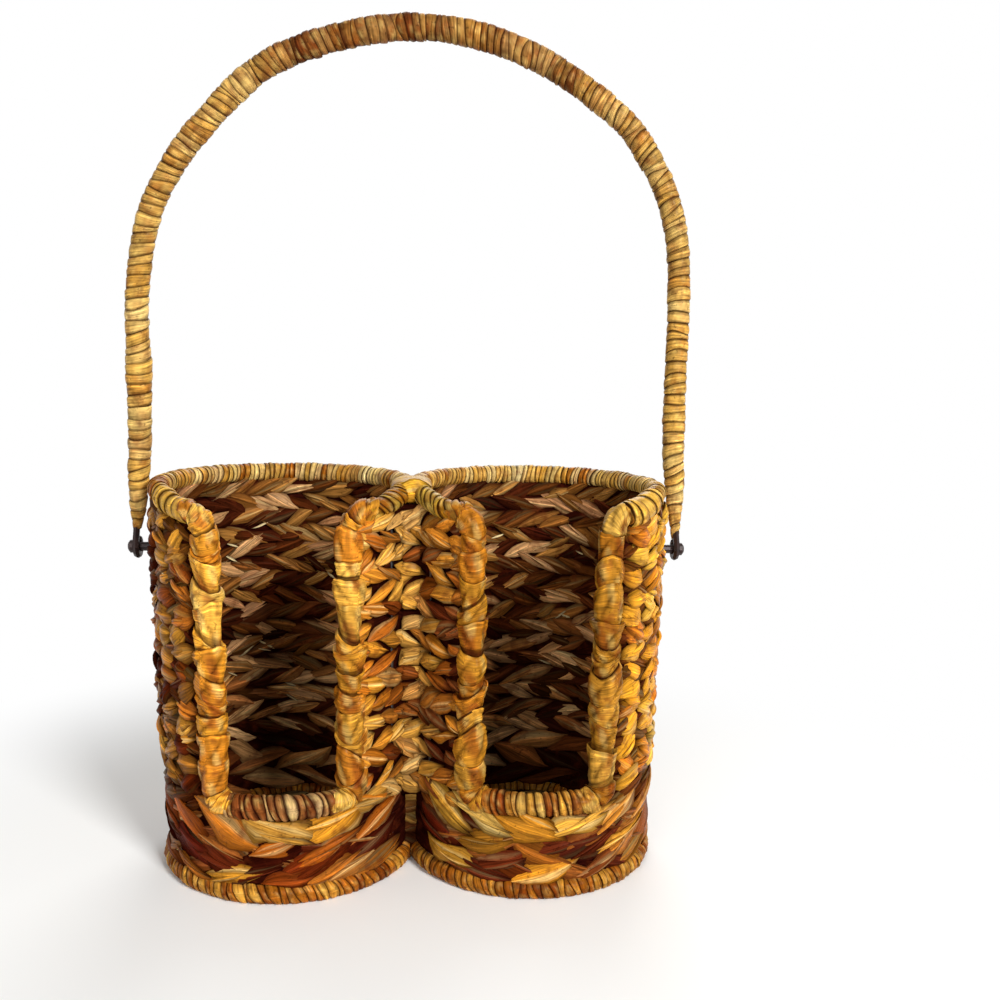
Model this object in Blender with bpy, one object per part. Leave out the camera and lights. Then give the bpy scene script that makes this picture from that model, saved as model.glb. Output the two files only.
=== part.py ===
"""Two-bottle wine basket of wrapped wire and woven leaf, with a swinging bail handle.

Metres, +Z up.  The origin is on the floor, midway between the two bottle cells.
+X points to the right cell and the open fronts face -Y.
Angles round a cell are counted from its open front towards the other cell.
"""
import math

import bmesh
import bpy
import numpy as np

# Fits
FIT_GAP = 0.0003            # left between pieces that touch
CUT_OVERRUN = 0.002         # how far a cutter runs past what it cuts

# Steel frame
FRAME_WIRE = 0.0032         # diameter of the base rings and opening hoops
POST_WIRE = 0.0025
SPOKE_WIRE = 0.0022
RING_RADIUS = 0.054         # from a cell's axis to the middle of its frame wire
POSTS_PER_RING = 18         # spacing of the posts, counted on a whole ring
SPOKE_PAIRS = 4

# Height and front opening
RIM_HEIGHT = 0.172          # middle of the rim wire at the back and sides
RIM_DIP = 0.005             # how far the rim drops towards the opening
DIP_START = math.radians(75)
OPENING_HALF_ANGLE = math.radians(32)
OPENING_TURN = math.radians(2.2)
SILL_HEIGHT = 0.043
TOP_BEND = 0.009            # radius of the hoop's bend from rim to jamb
SILL_BEND = 0.007

# Leaf wraps on the wires
RIM_WRAP_RADIUS = 0.0042
BASE_WRAP_RADIUS = 0.00475
SILL_WRAP_RADIUS = 0.00575
JAMB_LIP_RADIUS = 0.0064
JAMB_NECK_RADIUS = 0.0052
WRAP_RIDGE = 0.00045        # how far a turn stands above the groove beside it
STANDING_FLAT = 0.0005      # worn flat under the base wraps
RIM_TURNS = 20
RIM_FRONT_TURNS = 4
BASE_TURNS = 18
SILL_TURNS = 8
JAMB_CUPS = 8

# Woven leaf
WALL_THICKNESS = 0.0065      # where the strands pass round a post
WAIST_THICKNESS = 0.003      # where they cross between two posts
BAND_LEAVES = 10             # spacing of the band's leaves, counted on a whole ring
BAND_LEAN_SHARE = 0.15       # of a leaf's length, from each of its courses to the next
LACING_DEPTH = 0.0255        # of the leaf laced across the valleys, from the line of the pins
PIN_SEAT = 0.024             # height of the stretch of full wall round a pin
COURSE_RELIEF = 0.0009
BAND_COURSES = 3
WALL_COURSES = 6
FLOOR_THICKNESS = 0.005
FLOOR_COURSES = 2

# Bindings where the two cells meet
BINDING_WALL = 0.0017
WRAP_END_WALL = 0.0006      # leaf left between the base wrap's end and its first post

# Bail handle and its pins
PIVOT_DROP = 0.0275         # from the rim's level down to the pins
HANDLE_RISE = 0.2165        # from the pins up to the middle of the handle's top
HANDLE_WIRE = 0.003
HANDLE_WRAP_RADIUS = 0.0049
HANDLE_TURNS = 40
LEG_LEAN_IN = 0.0014        # how far the legs lean back in over the rim
EYE_OUTSET = 0.0036         # from a straight leg out to its eye
EYE_PLAY = 0.00035
PIN_WIRE = 0.004
PIN_HEAD_RADIUS = 0.0029
PIN_HEAD_LENGTH = 0.0022

# Corners round each piece
WIRE_SIDES = 6
WRAP_SIDES = 8
PIN_SIDES = 10
BINDING_SIDES = 12
FLOOR_SIDES = 20

# Steps along each run of wire, and how much finer a wrap's own path is drawn
RIM_BACK_STEPS = 18
RIM_FRONT_STEPS = 3
JUNCTION_STEPS = 2
JAMB_STEPS = 3
SILL_STEPS = 4
BASE_STEPS = 24
ARCH_STEPS = 38
EYE_STEPS = 8
FINE_STEPS = 12
OPENING_COLUMNS = 6

# Places along the handle, as shares of its half span and of its rise above the pins.
HANDLE_OUTLINE_SHARES = (
    (-1.0094, 0.118), (-1.0068, 0.155), (-1.0, 0.21), (-0.994, 0.36), (-0.987, 0.496),
    (-0.943, 0.628), (-0.871, 0.716), (-0.742, 0.81), (-0.495, 0.93), (-0.148, 0.9935),
    (0.166, 0.9985), (0.468, 0.95), (0.746, 0.855), (0.862, 0.779), (0.932, 0.71),
    (0.9795, 0.616), (0.995, 0.496), (0.9975, 0.36), (1.0, 0.21), (1.0068, 0.155),
    (1.0094, 0.118),
)
# Thickness of the handle's wrap, as shares of its rise and of its full radius.
HANDLE_TAPER_SHARES = ((0.03, 0.45), (0.072, 0.62), (0.12, 0.77), (0.155, 0.83), (0.2, 1.0))
# Hook from the leg round the pin, as shares of the eye's radius.
NECK_SHARES = ((0.0, 2.7), (-0.3, 1.75), (-0.8, 0.8))
EYE_END = math.radians(60)

WIRE_RADIUS = FRAME_WIRE / 2
WIRE_GAP = FIT_GAP / math.cos(math.pi / WIRE_SIDES)
BORE_RADIUS = WIRE_RADIUS + WIRE_GAP
POST_BORE_RADIUS = POST_WIRE / 2 + WIRE_GAP
CELL_OFFSET = RING_RADIUS + WIRE_RADIUS + FIT_GAP / 2
BASE_RING_HEIGHT = BASE_WRAP_RADIUS * math.cos(math.pi / WRAP_SIDES) - STANDING_FLAT
INNER_JAMB = OPENING_TURN + OPENING_HALF_ANGLE
OUTER_JAMB = 2 * math.pi + OPENING_TURN - OPENING_HALF_ANGLE
TOP_BEND_ANGLE = TOP_BEND / RING_RADIUS
SILL_BEND_ANGLE = SILL_BEND / RING_RADIUS
JUNCTION = math.pi / 2
PIN_ANGLE = 3 * math.pi / 2
POST_SPACING = 2 * math.pi / POSTS_PER_RING
BAND_SPACING = 2 * math.pi / BAND_LEAVES
POST_REACH = RING_RADIUS * math.sin(POST_SPACING / 2)
JUNCTION_HALF_ANGLE = math.asin((POST_REACH - POST_BORE_RADIUS - WRAP_END_WALL) / RING_RADIUS)
BINDING_HALF_LENGTH = (RING_RADIUS - BASE_WRAP_RADIUS) * math.sin(JUNCTION_HALF_ANGLE) - FIT_GAP
RIM_OUTER_EDGE = CELL_OFFSET + RING_RADIUS + RIM_WRAP_RADIUS
HANDLE_HALF_SPAN = RIM_OUTER_EDGE + HANDLE_WRAP_RADIUS - LEG_LEAN_IN
PIVOT_HEIGHT = RIM_HEIGHT - PIVOT_DROP
EYE_RADIUS = (PIN_WIRE + HANDLE_WIRE) / 2 + EYE_PLAY
EYE_X = HANDLE_HALF_SPAN + EYE_OUTSET
WALL_INNER = RING_RADIUS - WALL_THICKNESS / 2
WALL_OUTER = RING_RADIUS + WALL_THICKNESS / 2
WALL_BOTTOM = BASE_RING_HEIGHT + BASE_WRAP_RADIUS + FIT_GAP
BAND_TOP = SILL_HEIGHT - SILL_WRAP_RADIUS - FIT_GAP
WALL_EDGE_ANGLE = (JAMB_LIP_RADIUS + 2 * FIT_GAP) / RING_RADIUS
CROSS_WIRE_X = CELL_OFFSET + RING_RADIUS * math.cos(POST_SPACING / 2)

SIDES = {"left": -1, "right": 1}


def clear_scene():
    for old in list(bpy.data.objects):
        bpy.data.objects.remove(old, do_unlink=True)


def make_material(name, colour, roughness, metallic=0.0):
    material = bpy.data.materials.new(name)
    material.use_nodes = True
    shader = material.node_tree.nodes["Principled BSDF"]
    shader.inputs["Base Color"].default_value = (*colour, 1.0)
    shader.inputs["Roughness"].default_value = roughness
    shader.inputs["Metallic"].default_value = metallic
    return material


def add_object(name, points, faces, material):
    """Makes one closed piece whose faces point out."""
    mesh = bpy.data.meshes.new(name)
    shape = bmesh.new()
    corners = [shape.verts.new(point) for point in points]
    for face in faces:
        shape.faces.new([corners[index] for index in face])
    bmesh.ops.recalc_face_normals(shape, faces=shape.faces)
    shape.to_mesh(mesh)
    shape.free()
    mesh.materials.append(material)
    mesh.shade_smooth()
    mesh.set_sharp_from_angle(angle=math.radians(40))
    piece = bpy.data.objects.new(name, mesh)
    bpy.context.scene.collection.objects.link(piece)
    return piece


def boolean(piece, tool, operation):
    """Leaves a live Boolean on the piece and hides its tool as a wire guide."""
    modifier = piece.modifiers.new(operation.lower(), "BOOLEAN")
    modifier.operation = operation
    modifier.solver = "EXACT"
    modifier.object = tool
    tool.hide_render = True
    tool.display_type = "WIRE"


def on_cell(side, angle, height, radius=RING_RADIUS):
    """A point of a cell's round wall; the angle runs from its front to the other cell."""
    angle = np.asarray(angle, dtype=float)
    height = np.broadcast_to(np.asarray(height, dtype=float), angle.shape)
    x = side * (CELL_OFFSET - radius * np.sin(angle))
    return np.stack([x, -radius * np.cos(angle), height], axis=-1)


def outwards(side, angle):
    angle = np.asarray(angle, dtype=float)
    return np.stack([-side * np.sin(angle), -np.cos(angle), np.zeros_like(angle)], axis=-1)


def angle_from_opening(angle):
    return np.abs((np.asarray(angle) - OPENING_TURN + math.pi) % (2 * math.pi) - math.pi)


def rim_height_at(angle):
    """The rim is level round the back and dips in a smooth slope towards the opening."""
    from_front = angle_from_opening(angle)
    dip_end = OPENING_HALF_ANGLE + TOP_BEND_ANGLE
    share = np.clip((DIP_START - from_front) / (DIP_START - dip_end), 0, 1)
    return RIM_HEIGHT - RIM_DIP * share * share * (3 - 2 * share)


def rim_stretch(start, end, count):
    angles = np.linspace(start, end, count + 1)
    return angles, rim_height_at(angles)


def jamb_stretch(jamb, turn, count):
    """Down a jamb: the bend from the rim, the straight wire and the bend into the sill.

    turn is +1 where the rim lies at greater angles than the jamb, -1 where it lies at less;
    count is the number of steps in each of the three.
    """
    top_centre = jamb + turn * TOP_BEND_ANGLE
    rim_level = float(rim_height_at(top_centre))
    bend = np.linspace(math.pi / 2, 0, count + 1)
    top_angles = top_centre - turn * TOP_BEND_ANGLE * np.cos(bend)
    top_heights = rim_level - TOP_BEND + TOP_BEND * np.sin(bend)
    sill_angles = jamb - turn * SILL_BEND_ANGLE * (1 - np.cos(bend[::-1]))
    sill_heights = SILL_HEIGHT + SILL_BEND - SILL_BEND * np.sin(bend[::-1])
    straight = np.linspace(rim_level - TOP_BEND, SILL_HEIGHT + SILL_BEND, count + 1)[1:-1]
    angles = np.concatenate([top_angles, np.full(len(straight), jamb), sill_angles])
    heights = np.concatenate([top_heights, straight, sill_heights])
    return angles, heights


def sill_stretch(count):
    start = OUTER_JAMB - 2 * math.pi + SILL_BEND_ANGLE
    end = INNER_JAMB - SILL_BEND_ANGLE
    angles = np.linspace(start, end, count + 1)
    return angles, np.full(count + 1, SILL_HEIGHT)


def stretches(fine=1):
    """The runs of one opening hoop, in order, as angles and heights; fine adds points."""
    rim_start = INNER_JAMB + TOP_BEND_ANGLE
    rim_end = OUTER_JAMB - TOP_BEND_ANGLE
    before = JUNCTION - JUNCTION_HALF_ANGLE
    after = JUNCTION + JUNCTION_HALF_ANGLE
    outer_angles, outer_heights = jamb_stretch(OUTER_JAMB, -1, JAMB_STEPS * fine)
    inner_angles, inner_heights = jamb_stretch(INNER_JAMB, 1, JAMB_STEPS * fine)
    return {
        "rim_front": rim_stretch(rim_start, before, RIM_FRONT_STEPS * fine),
        "junction": rim_stretch(before, after, JUNCTION_STEPS * fine),
        "rim_back": rim_stretch(after, rim_end, RIM_BACK_STEPS * fine),
        "outer_jamb": (outer_angles, outer_heights),
        "sill": sill_stretch(SILL_STEPS * fine),
        "inner_jamb": (inner_angles[::-1], inner_heights[::-1]),
    }


def shares_along(points):
    """How far along its path each point lies, from 0 to 1."""
    steps = np.linalg.norm(np.diff(points, axis=0), axis=1)
    along = np.concatenate([[0], np.cumsum(steps)])
    return along / along[-1]


def resample(points, shares, values=None):
    """Points at the given shares of a path's length, or values that go with its points."""
    along = shares_along(points)
    targets = np.asarray(shares)
    source = points if values is None else values
    found = np.stack([np.interp(targets, along, source[:, axis]) for axis in range(3)], axis=1)
    if values is None:
        return found
    return found / np.linalg.norm(found, axis=1)[:, None]


def trim_ends(points, length):
    """The same path, shorter by the length at both ends."""
    total = np.linalg.norm(np.diff(points, axis=0), axis=1).sum()
    ends = resample(points, [length / total, 1 - length / total])
    trimmed = points.copy()
    trimmed[0] = ends[0]
    trimmed[-1] = ends[1]
    return trimmed


def tangents_of(points, closed):
    if closed:
        step = np.roll(points, -1, axis=0) - np.roll(points, 1, axis=0)
    else:
        step = np.gradient(points, axis=0)
    return step / np.linalg.norm(step, axis=1)[:, None]


def rings_round(points, normals, radii, sides, closed=False, tangents=None, first=0.0):
    """A ring of corners round each point of a path, square to the path.

    The first corner lies at the angle first from the normal.
    """
    if tangents is None:
        tangents = tangents_of(points, closed)
    normals = normals - (normals * tangents).sum(axis=1)[:, None] * tangents
    normals = normals / np.linalg.norm(normals, axis=1)[:, None]
    across = np.cross(tangents, normals)
    turn = first + np.arange(sides) * 2 * math.pi / sides
    radii = np.broadcast_to(radii, len(points))[:, None, None]
    round_part = np.cos(turn)[None, :, None] * normals[:, None, :]
    round_part = round_part + np.sin(turn)[None, :, None] * across[:, None, :]
    return points[:, None, :] + radii * round_part


def tube_faces(ring_count, sides, first=0, closed=False):
    faces = []
    last = ring_count if closed else ring_count - 1
    for ring in range(last):
        here = first + ring * sides
        there = first + (ring + 1) % ring_count * sides
        for corner in range(sides):
            after = (corner + 1) % sides
            faces.append((here + corner, here + after, there + after, there + corner))
    return faces


def zip_rings(first_a, sides_a, first_b, sides_b):
    """Triangles between two rings that share a centre but not a number of sides."""
    faces = []
    a = 0
    b = 0
    while a < sides_a or b < sides_b:
        step_a = (a + 1) / sides_a if a < sides_a else 2
        step_b = (b + 1) / sides_b if b < sides_b else 2
        here_a = first_a + a % sides_a
        here_b = first_b + b % sides_b
        if step_a <= step_b:
            faces.append((here_a, first_a + (a + 1) % sides_a, here_b))
            a += 1
        else:
            faces.append((here_a, first_b + (b + 1) % sides_b, here_b))
            b += 1
    return faces


def add_wire(name, points, normals, radius, material, closed=False):
    rings = rings_round(points, normals, radius, WIRE_SIDES, closed)
    faces = tube_faces(len(points), WIRE_SIDES, closed=closed)
    if not closed:
        last = (len(points) - 1) * WIRE_SIDES
        faces.append(tuple(range(WIRE_SIDES)))
        faces.append(tuple(range(last, last + WIRE_SIDES)))
    return add_object(name, rings.reshape(-1, 3), faces, material)


def sleeve_mesh(bore_points, bore_normals, bore_radius,
                skin_path, skin_normals, shares, radii, first=0.0):
    """A wrap: a ridged skin, a plain bore and an annulus at each end.

    The skin has a ring at each share of its finely drawn path.
    """
    skin_points = resample(skin_path, shares)
    path_tangents = tangents_of(skin_path, False)
    tangents = resample(skin_path, shares, path_tangents)
    normals = resample(skin_path, shares, skin_normals)
    skin = rings_round(skin_points, normals, radii, WRAP_SIDES, tangents=tangents, first=first)
    bore_tangents = resample(skin_path, shares_along(bore_points), path_tangents)
    bore = rings_round(bore_points, bore_normals, bore_radius, WIRE_SIDES, tangents=bore_tangents)
    bore_first = len(skin_points) * WRAP_SIDES
    faces = tube_faces(len(skin_points), WRAP_SIDES)
    faces += tube_faces(len(bore_points), WIRE_SIDES, bore_first)
    faces += zip_rings(0, WRAP_SIDES, bore_first, WIRE_SIDES)
    skin_last = (len(skin_points) - 1) * WRAP_SIDES
    bore_last = bore_first + (len(bore_points) - 1) * WIRE_SIDES
    faces += zip_rings(skin_last, WRAP_SIDES, bore_last, WIRE_SIDES)
    return np.concatenate([skin.reshape(-1, 3), bore.reshape(-1, 3)]), faces


def keep_to_side(points, side):
    """Presses whatever would cross the middle flat against it."""
    kept = points.copy()
    kept[:, 0] = side * np.maximum(side * kept[:, 0], FIT_GAP / 2)
    return kept


def ridged(turns, radius):
    """Shares along a wrap and the radius there: a crest and a groove for each turn."""
    shares = np.linspace(0, 1, 2 * turns + 1)
    radii = np.where(np.arange(2 * turns + 1) % 2 == 1, radius, radius - WRAP_RIDGE)
    return shares, radii


def cupped():
    """Shares and radii down a jamb: its bend from the rim, its cups and its bend to the sill.

    Each cup flares at its upper lip and draws in to its foot, where the next begins.
    """
    foot_share = 0.84
    corner = TOP_BEND * math.pi / 2
    straight = RIM_HEIGHT - RIM_DIP - TOP_BEND - SILL_BEND - SILL_HEIGHT
    whole = corner + straight + SILL_BEND * math.pi / 2
    bend = np.linspace(0, corner, JAMB_STEPS + 1)[:-1]
    bend_radii = np.linspace(RIM_WRAP_RADIUS, JAMB_NECK_RADIUS, JAMB_STEPS)
    starts = corner + straight * np.arange(JAMB_CUPS) / JAMB_CUPS
    feet = starts + foot_share * straight / JAMB_CUPS
    cups = np.stack([starts, feet], axis=1).reshape(-1)
    cup_radii = np.tile([JAMB_LIP_RADIUS, JAMB_NECK_RADIUS], JAMB_CUPS)
    foot = np.linspace(corner + straight, whole, JAMB_STEPS)
    foot_radii = np.full(JAMB_STEPS, JAMB_NECK_RADIUS)
    places = np.concatenate([bend, cups, foot]) / whole
    return places, np.concatenate([bend_radii, cup_radii, foot_radii])


def add_cell_sleeve(name, side, coarse, fine, shares, radii, material, stands=False):
    """A wrap along a stretch of a cell's wire, its bore on the wire's own corners.

    One that the basket stands on has a side facing down, pressed flat on the floor.
    """
    bore_points = trim_ends(on_cell(side, *coarse), FIT_GAP / 2)
    skin_path = trim_ends(on_cell(side, *fine), FIT_GAP / 2)
    points, faces = sleeve_mesh(
        bore_points, outwards(side, coarse[0]), BORE_RADIUS,
        skin_path, outwards(side, fine[0]), shares, radii,
        first=math.pi / WRAP_SIDES if stands else 0.0)
    points = keep_to_side(points, side)
    if stands:
        points[:, 2] = np.maximum(points[:, 2], 0)
    return add_object(name, points, faces, material)


def add_hoop(name, side, material):
    """The closed wire of rim, jambs and sill, bent from one length and butt welded."""
    runs = stretches()
    angles = np.concatenate([run[0][:-1] for run in runs.values()])
    heights = np.concatenate([run[1][:-1] for run in runs.values()])
    add_wire(name, on_cell(side, angles, heights), outwards(side, angles),
             WIRE_RADIUS, material, closed=True)


def add_hoop_wraps(cell, side, material):
    coarse = stretches()
    fine = stretches(FINE_STEPS)
    shares, radii = ridged(RIM_TURNS, RIM_WRAP_RADIUS)
    add_cell_sleeve(cell + "_rim_wrap_back", side, coarse["rim_back"], fine["rim_back"],
                    shares, radii, material)
    shares, radii = ridged(RIM_FRONT_TURNS, RIM_WRAP_RADIUS)
    add_cell_sleeve(cell + "_rim_wrap_front", side, coarse["rim_front"], fine["rim_front"],
                    shares, radii, material)
    shares, radii = ridged(SILL_TURNS, SILL_WRAP_RADIUS)
    add_cell_sleeve(cell + "_sill_wrap", side, coarse["sill"], fine["sill"],
                    shares, radii, material)
    shares, radii = cupped()
    add_cell_sleeve(cell + "_outer_jamb_wrap", side, coarse["outer_jamb"], fine["outer_jamb"],
                    shares, radii, material)
    inner_coarse = tuple(part[::-1] for part in coarse["inner_jamb"])
    inner_fine = tuple(part[::-1] for part in fine["inner_jamb"])
    add_cell_sleeve(cell + "_inner_jamb_wrap", side, inner_coarse, inner_fine,
                    shares, radii, material)


def base_angles(count):
    """Round the base ring from behind the junction to in front of it."""
    start = JUNCTION + JUNCTION_HALF_ANGLE
    end = JUNCTION - JUNCTION_HALF_ANGLE + 2 * math.pi
    return np.linspace(start, end, count + 1)


def add_base(cell, side, wire_material, wrap_material):
    """The welded cage of base ring and posts, and the leaf wrapped round its ring."""
    wrapped = base_angles(BASE_STEPS)
    junction = np.array([JUNCTION]) + 2 * math.pi
    ring = np.concatenate([wrapped, junction])
    cage = add_wire(cell + "_wire_cage", on_cell(side, ring, BASE_RING_HEIGHT),
                    outwards(side, ring), WIRE_RADIUS, wire_material, closed=True)
    posts = add_cylinders(cell + "_posts", post_ends(side), POST_WIRE / 2, WIRE_SIDES,
                          wire_material)
    boolean(cage, posts, "UNION")
    fine = base_angles(BASE_STEPS * FINE_STEPS)
    shares, radii = ridged(BASE_TURNS, BASE_WRAP_RADIUS)
    wrap = add_cell_sleeve(
        cell + "_base_wrap", side, (wrapped, BASE_RING_HEIGHT), (fine, BASE_RING_HEIGHT),
        shares, radii, wrap_material, stands=True)
    post_bores = add_cylinders(cell + "_post_bores", post_ends(side, CUT_OVERRUN),
                               POST_BORE_RADIUS, WIRE_SIDES, wrap_material)
    boolean(wrap, post_bores, "DIFFERENCE")
    return post_bores


def post_angles():
    """Posts stand evenly either side of the junction and stop short of the jambs."""
    first = JUNCTION + POST_SPACING / 2
    angles = first + np.arange(-POSTS_PER_RING, POSTS_PER_RING) * POST_SPACING
    low = INNER_JAMB + WALL_EDGE_ANGLE + POST_SPACING / 2
    high = OUTER_JAMB - WALL_EDGE_ANGLE - POST_SPACING / 2
    return angles[(angles > low) & (angles < high)]


def cylinder_between(start, end, radius, sides, roll=0.0):
    """Corners and faces of a straight capped cylinder, its flats rolled about its axis."""
    path = np.array([start, end], dtype=float)
    along = path[1] - path[0]
    along = along / np.linalg.norm(along)
    upright = abs(along[2]) > abs(along[0]) + abs(along[1])
    reference = np.array([1.0, 0.0, 0.0]) if upright else np.array([0.0, 0.0, 1.0])
    reference = math.cos(roll) * reference + math.sin(roll) * np.cross(along, reference)
    rings = rings_round(path, np.tile(reference, (2, 1)), radius, sides)
    faces = tube_faces(2, sides)
    faces += [tuple(range(sides)), tuple(range(sides, 2 * sides))]
    return rings.reshape(-1, 3), faces


def add_cylinders(name, ends, radius, sides, material, roll=0.0):
    """Separate cylinders, given by their two ends, in one object."""
    points = []
    faces = []
    for start, end in ends:
        corners, sheets = cylinder_between(start, end, radius, sides, roll)
        shift = sum(len(block) for block in points)
        faces += [tuple(index + shift for index in sheet) for sheet in sheets]
        points.append(corners)
    return add_object(name, np.concatenate(points), faces, material)


def wall_top_at(angle):
    """The wall ends under the rim wrap, and lower beside the opening's thicker corners."""
    beyond_edge = angle_from_opening(angle) - OPENING_HALF_ANGLE - WALL_EDGE_ANGLE
    nearness = np.clip(1 - beyond_edge / TOP_BEND_ANGLE, 0, 1)
    drop = RIM_WRAP_RADIUS + 2 * FIT_GAP + (JAMB_NECK_RADIUS - RIM_WRAP_RADIUS) * nearness
    return rim_height_at(angle) - drop


def post_ends(side, reach=0.0):
    """Foot and head of each post, from the middle of the base ring to under the rim wrap."""
    ends = []
    for angle in post_angles():
        foot = on_cell(side, angle, BASE_RING_HEIGHT)
        head = on_cell(side, angle, float(wall_top_at(angle)) + reach)
        ends.append((foot, head))
    return ends


def cross_wire_ends(side, clearance):
    """The short wire between the two posts beside a pivot pin."""
    half = POST_REACH - clearance
    x = side * CROSS_WIRE_X
    return (x, -half, PIVOT_HEIGHT), (x, half, PIVOT_HEIGHT)


def wall_columns():
    """Angles of the wall's corners: its posts, the gaps between them and the opening."""
    low = INNER_JAMB + WALL_EDGE_ANGLE
    high = OUTER_JAMB - WALL_EDGE_ANGLE
    posts = post_angles()
    halves = np.arange(posts[0] - POST_SPACING / 2, posts[-1] + POST_SPACING, POST_SPACING)
    halves = halves[(halves > low) & (halves < high)]
    solid = np.sort(np.concatenate([posts, halves, [low, high]]))
    opening = np.linspace(high, low + 2 * math.pi, OPENING_COLUMNS + 1)[1:-1]
    is_post = [bool(np.any(np.isclose(posts, angle))) for angle in solid]
    return solid, opening, is_post


def half_thickness(angle, spacing, first):
    """Half the wall: full where a leaf bows out, and a waist where two strands cross."""
    fullness = abs(math.cos(math.pi * (angle - first) / spacing))
    return (WAIST_THICKNESS + (WALL_THICKNESS - WAIST_THICKNESS) * fullness) / 2


def band_half_thickness(angle, row):
    """The band's leaves are longer than the posts' spacing, and step along in each course."""
    return half_thickness(angle, BAND_SPACING, (row // 2) * BAND_LEAN_SHARE * BAND_SPACING)


def lacing_radius(angle):
    """Leaf laced through both cells closes the valleys, a post's spacing before and behind."""
    spacings_away = round(abs(angle - JUNCTION) / POST_SPACING, 3)
    if spacings_away > 1:
        return 0.0
    if spacings_away == 1:
        return LACING_DEPTH / abs(math.cos(angle))
    return CELL_OFFSET / math.sin(angle)


def relief_at(row, column, is_post):
    """Weavers pass before one post and behind the next, a course apart."""
    if not is_post:
        return 0.0
    if row % 2 == 0:
        return -COURSE_RELIEF
    passes_in_front = (column // 2 + row // 2) % 2 == 0
    return COURSE_RELIEF if passes_in_front else -COURSE_RELIEF / 2


def add_wall(cell, side, post_bores, material):
    """The woven wall: a whole band up to the sill and an open shell above it."""
    solid, opening, is_post = wall_columns()
    columns = np.concatenate([solid, opening])
    posts = is_post + [column % 2 == 0 for column in range(len(opening))]
    band_rows = 2 * BAND_COURSES
    wall_rows = 2 * WALL_COURSES
    rows = band_rows + wall_rows
    inner_rows = (0, band_rows, band_rows + 1, rows)
    points = []
    outer = {}
    inner = {}
    for column, angle in enumerate(columns):
        top = float(wall_top_at(angle))
        highest = rows if column < len(solid) else band_rows
        at_edge = column in (0, len(solid) - 1)
        at_pin = bool(np.isclose(angle, PIN_ANGLE))
        at_post = column < len(solid) and is_post[column]
        for row in range(highest + 1):
            if row <= band_rows:
                height = WALL_BOTTOM + (BAND_TOP - WALL_BOTTOM) * row / band_rows
                half = band_half_thickness(angle, row)
                if at_post:
                    half = WALL_THICKNESS / 2
                radius = RING_RADIUS + half + relief_at(row, column, posts[column]) / 2
            else:
                height = BAND_TOP + (top - BAND_TOP) * (row - band_rows) / wall_rows
                half = half_thickness(angle, POST_SPACING, 0.0)
                if at_edge:
                    half = WAIST_THICKNESS / 2
                full = WALL_THICKNESS / 2 if at_pin else half
                beside_pin = abs(height - PIVOT_HEIGHT) < PIN_SEAT / 2
                radius = RING_RADIUS + (full if beside_pin else half)
                radius += relief_at(row, column, posts[column])
                radius = max(radius, lacing_radius(angle))
                half = full
            outer[column, row] = len(points)
            points.append(on_cell(side, angle, height, radius))
            if row in inner_rows:
                inner[column, row] = len(points)
                points.append(on_cell(side, angle, height, RING_RADIUS - half))
    faces = []
    count = len(columns)
    for column in range(count):
        after = (column + 1) % count
        stands = column < len(solid) - 1
        for row in range(rows if stands else band_rows):
            faces.append((outer[column, row], outer[after, row],
                          outer[after, row + 1], outer[column, row + 1]))
        for low, high in zip(inner_rows[:-1], inner_rows[1:]):
            if high <= band_rows or stands:
                faces.append((inner[column, low], inner[after, low],
                              inner[after, high], inner[column, high]))
        faces.append((outer[column, 0], outer[after, 0], inner[after, 0], inner[column, 0]))
        top_row = rows if stands else band_rows
        faces.append((outer[column, top_row], outer[after, top_row],
                      inner[after, top_row], inner[column, top_row]))
    for column in (0, len(solid) - 1):
        edge = [outer[column, row] for row in range(band_rows, rows + 1)]
        edge += [inner[column, row] for row in reversed(inner_rows) if row >= band_rows]
        faces.append(tuple(edge))
    wall = add_object(cell + "_woven_wall", keep_to_side(np.array(points), side), faces, material)

    cross_bore = add_cylinders(cell + "_cross_bore", [cross_wire_ends(side, 0)],
                               POST_BORE_RADIUS, WIRE_SIDES, material)
    start = (side * CROSS_WIRE_X, 0, PIVOT_HEIGHT)
    end = (side * (CELL_OFFSET + WALL_OUTER + CUT_OVERRUN), 0, PIVOT_HEIGHT)
    pin_bore = add_cylinders(cell + "_pin_bore", [(start, end)], PIN_WIRE / 2 + FIT_GAP,
                             PIN_SIDES, material)
    for tool in (post_bores, cross_bore, pin_bore):
        boolean(wall, tool, "DIFFERENCE")


def turned_mesh(profile, centre, axis, sides):
    """Corners and faces of a profile of (distance along, radius) turned about an axis."""
    centre = np.asarray(centre, dtype=float)
    along = np.array([place for place, radius in profile])
    radii = np.array([radius for place, radius in profile])
    path = centre + along[:, None] * np.asarray(axis, dtype=float)
    reference = np.array([0.0, 1.0, 0.0])
    across = np.cross(axis, reference)
    turn = np.arange(sides) * 2 * math.pi / sides
    circle = np.cos(turn)[:, None] * reference + np.sin(turn)[:, None] * across
    rings = path[:, None, :] + radii[:, None, None] * circle[None, :, :]
    faces = tube_faces(len(profile), sides)
    last = (len(profile) - 1) * sides
    faces += [tuple(range(sides)), tuple(range(last, last + sides))]
    return rings.reshape(-1, 3), faces


def floor_radius():
    return RING_RADIUS - BASE_WRAP_RADIUS - FIT_GAP


def spoke_ends(side, pair, reach):
    angle = math.pi * (pair + 1 / 2) / SPOKE_PAIRS
    arm = np.array([math.cos(angle), math.sin(angle), 0.0]) * reach
    centre = np.array([side * CELL_OFFSET, 0.0, BASE_RING_HEIGHT])
    return centre - arm, centre + arm


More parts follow.
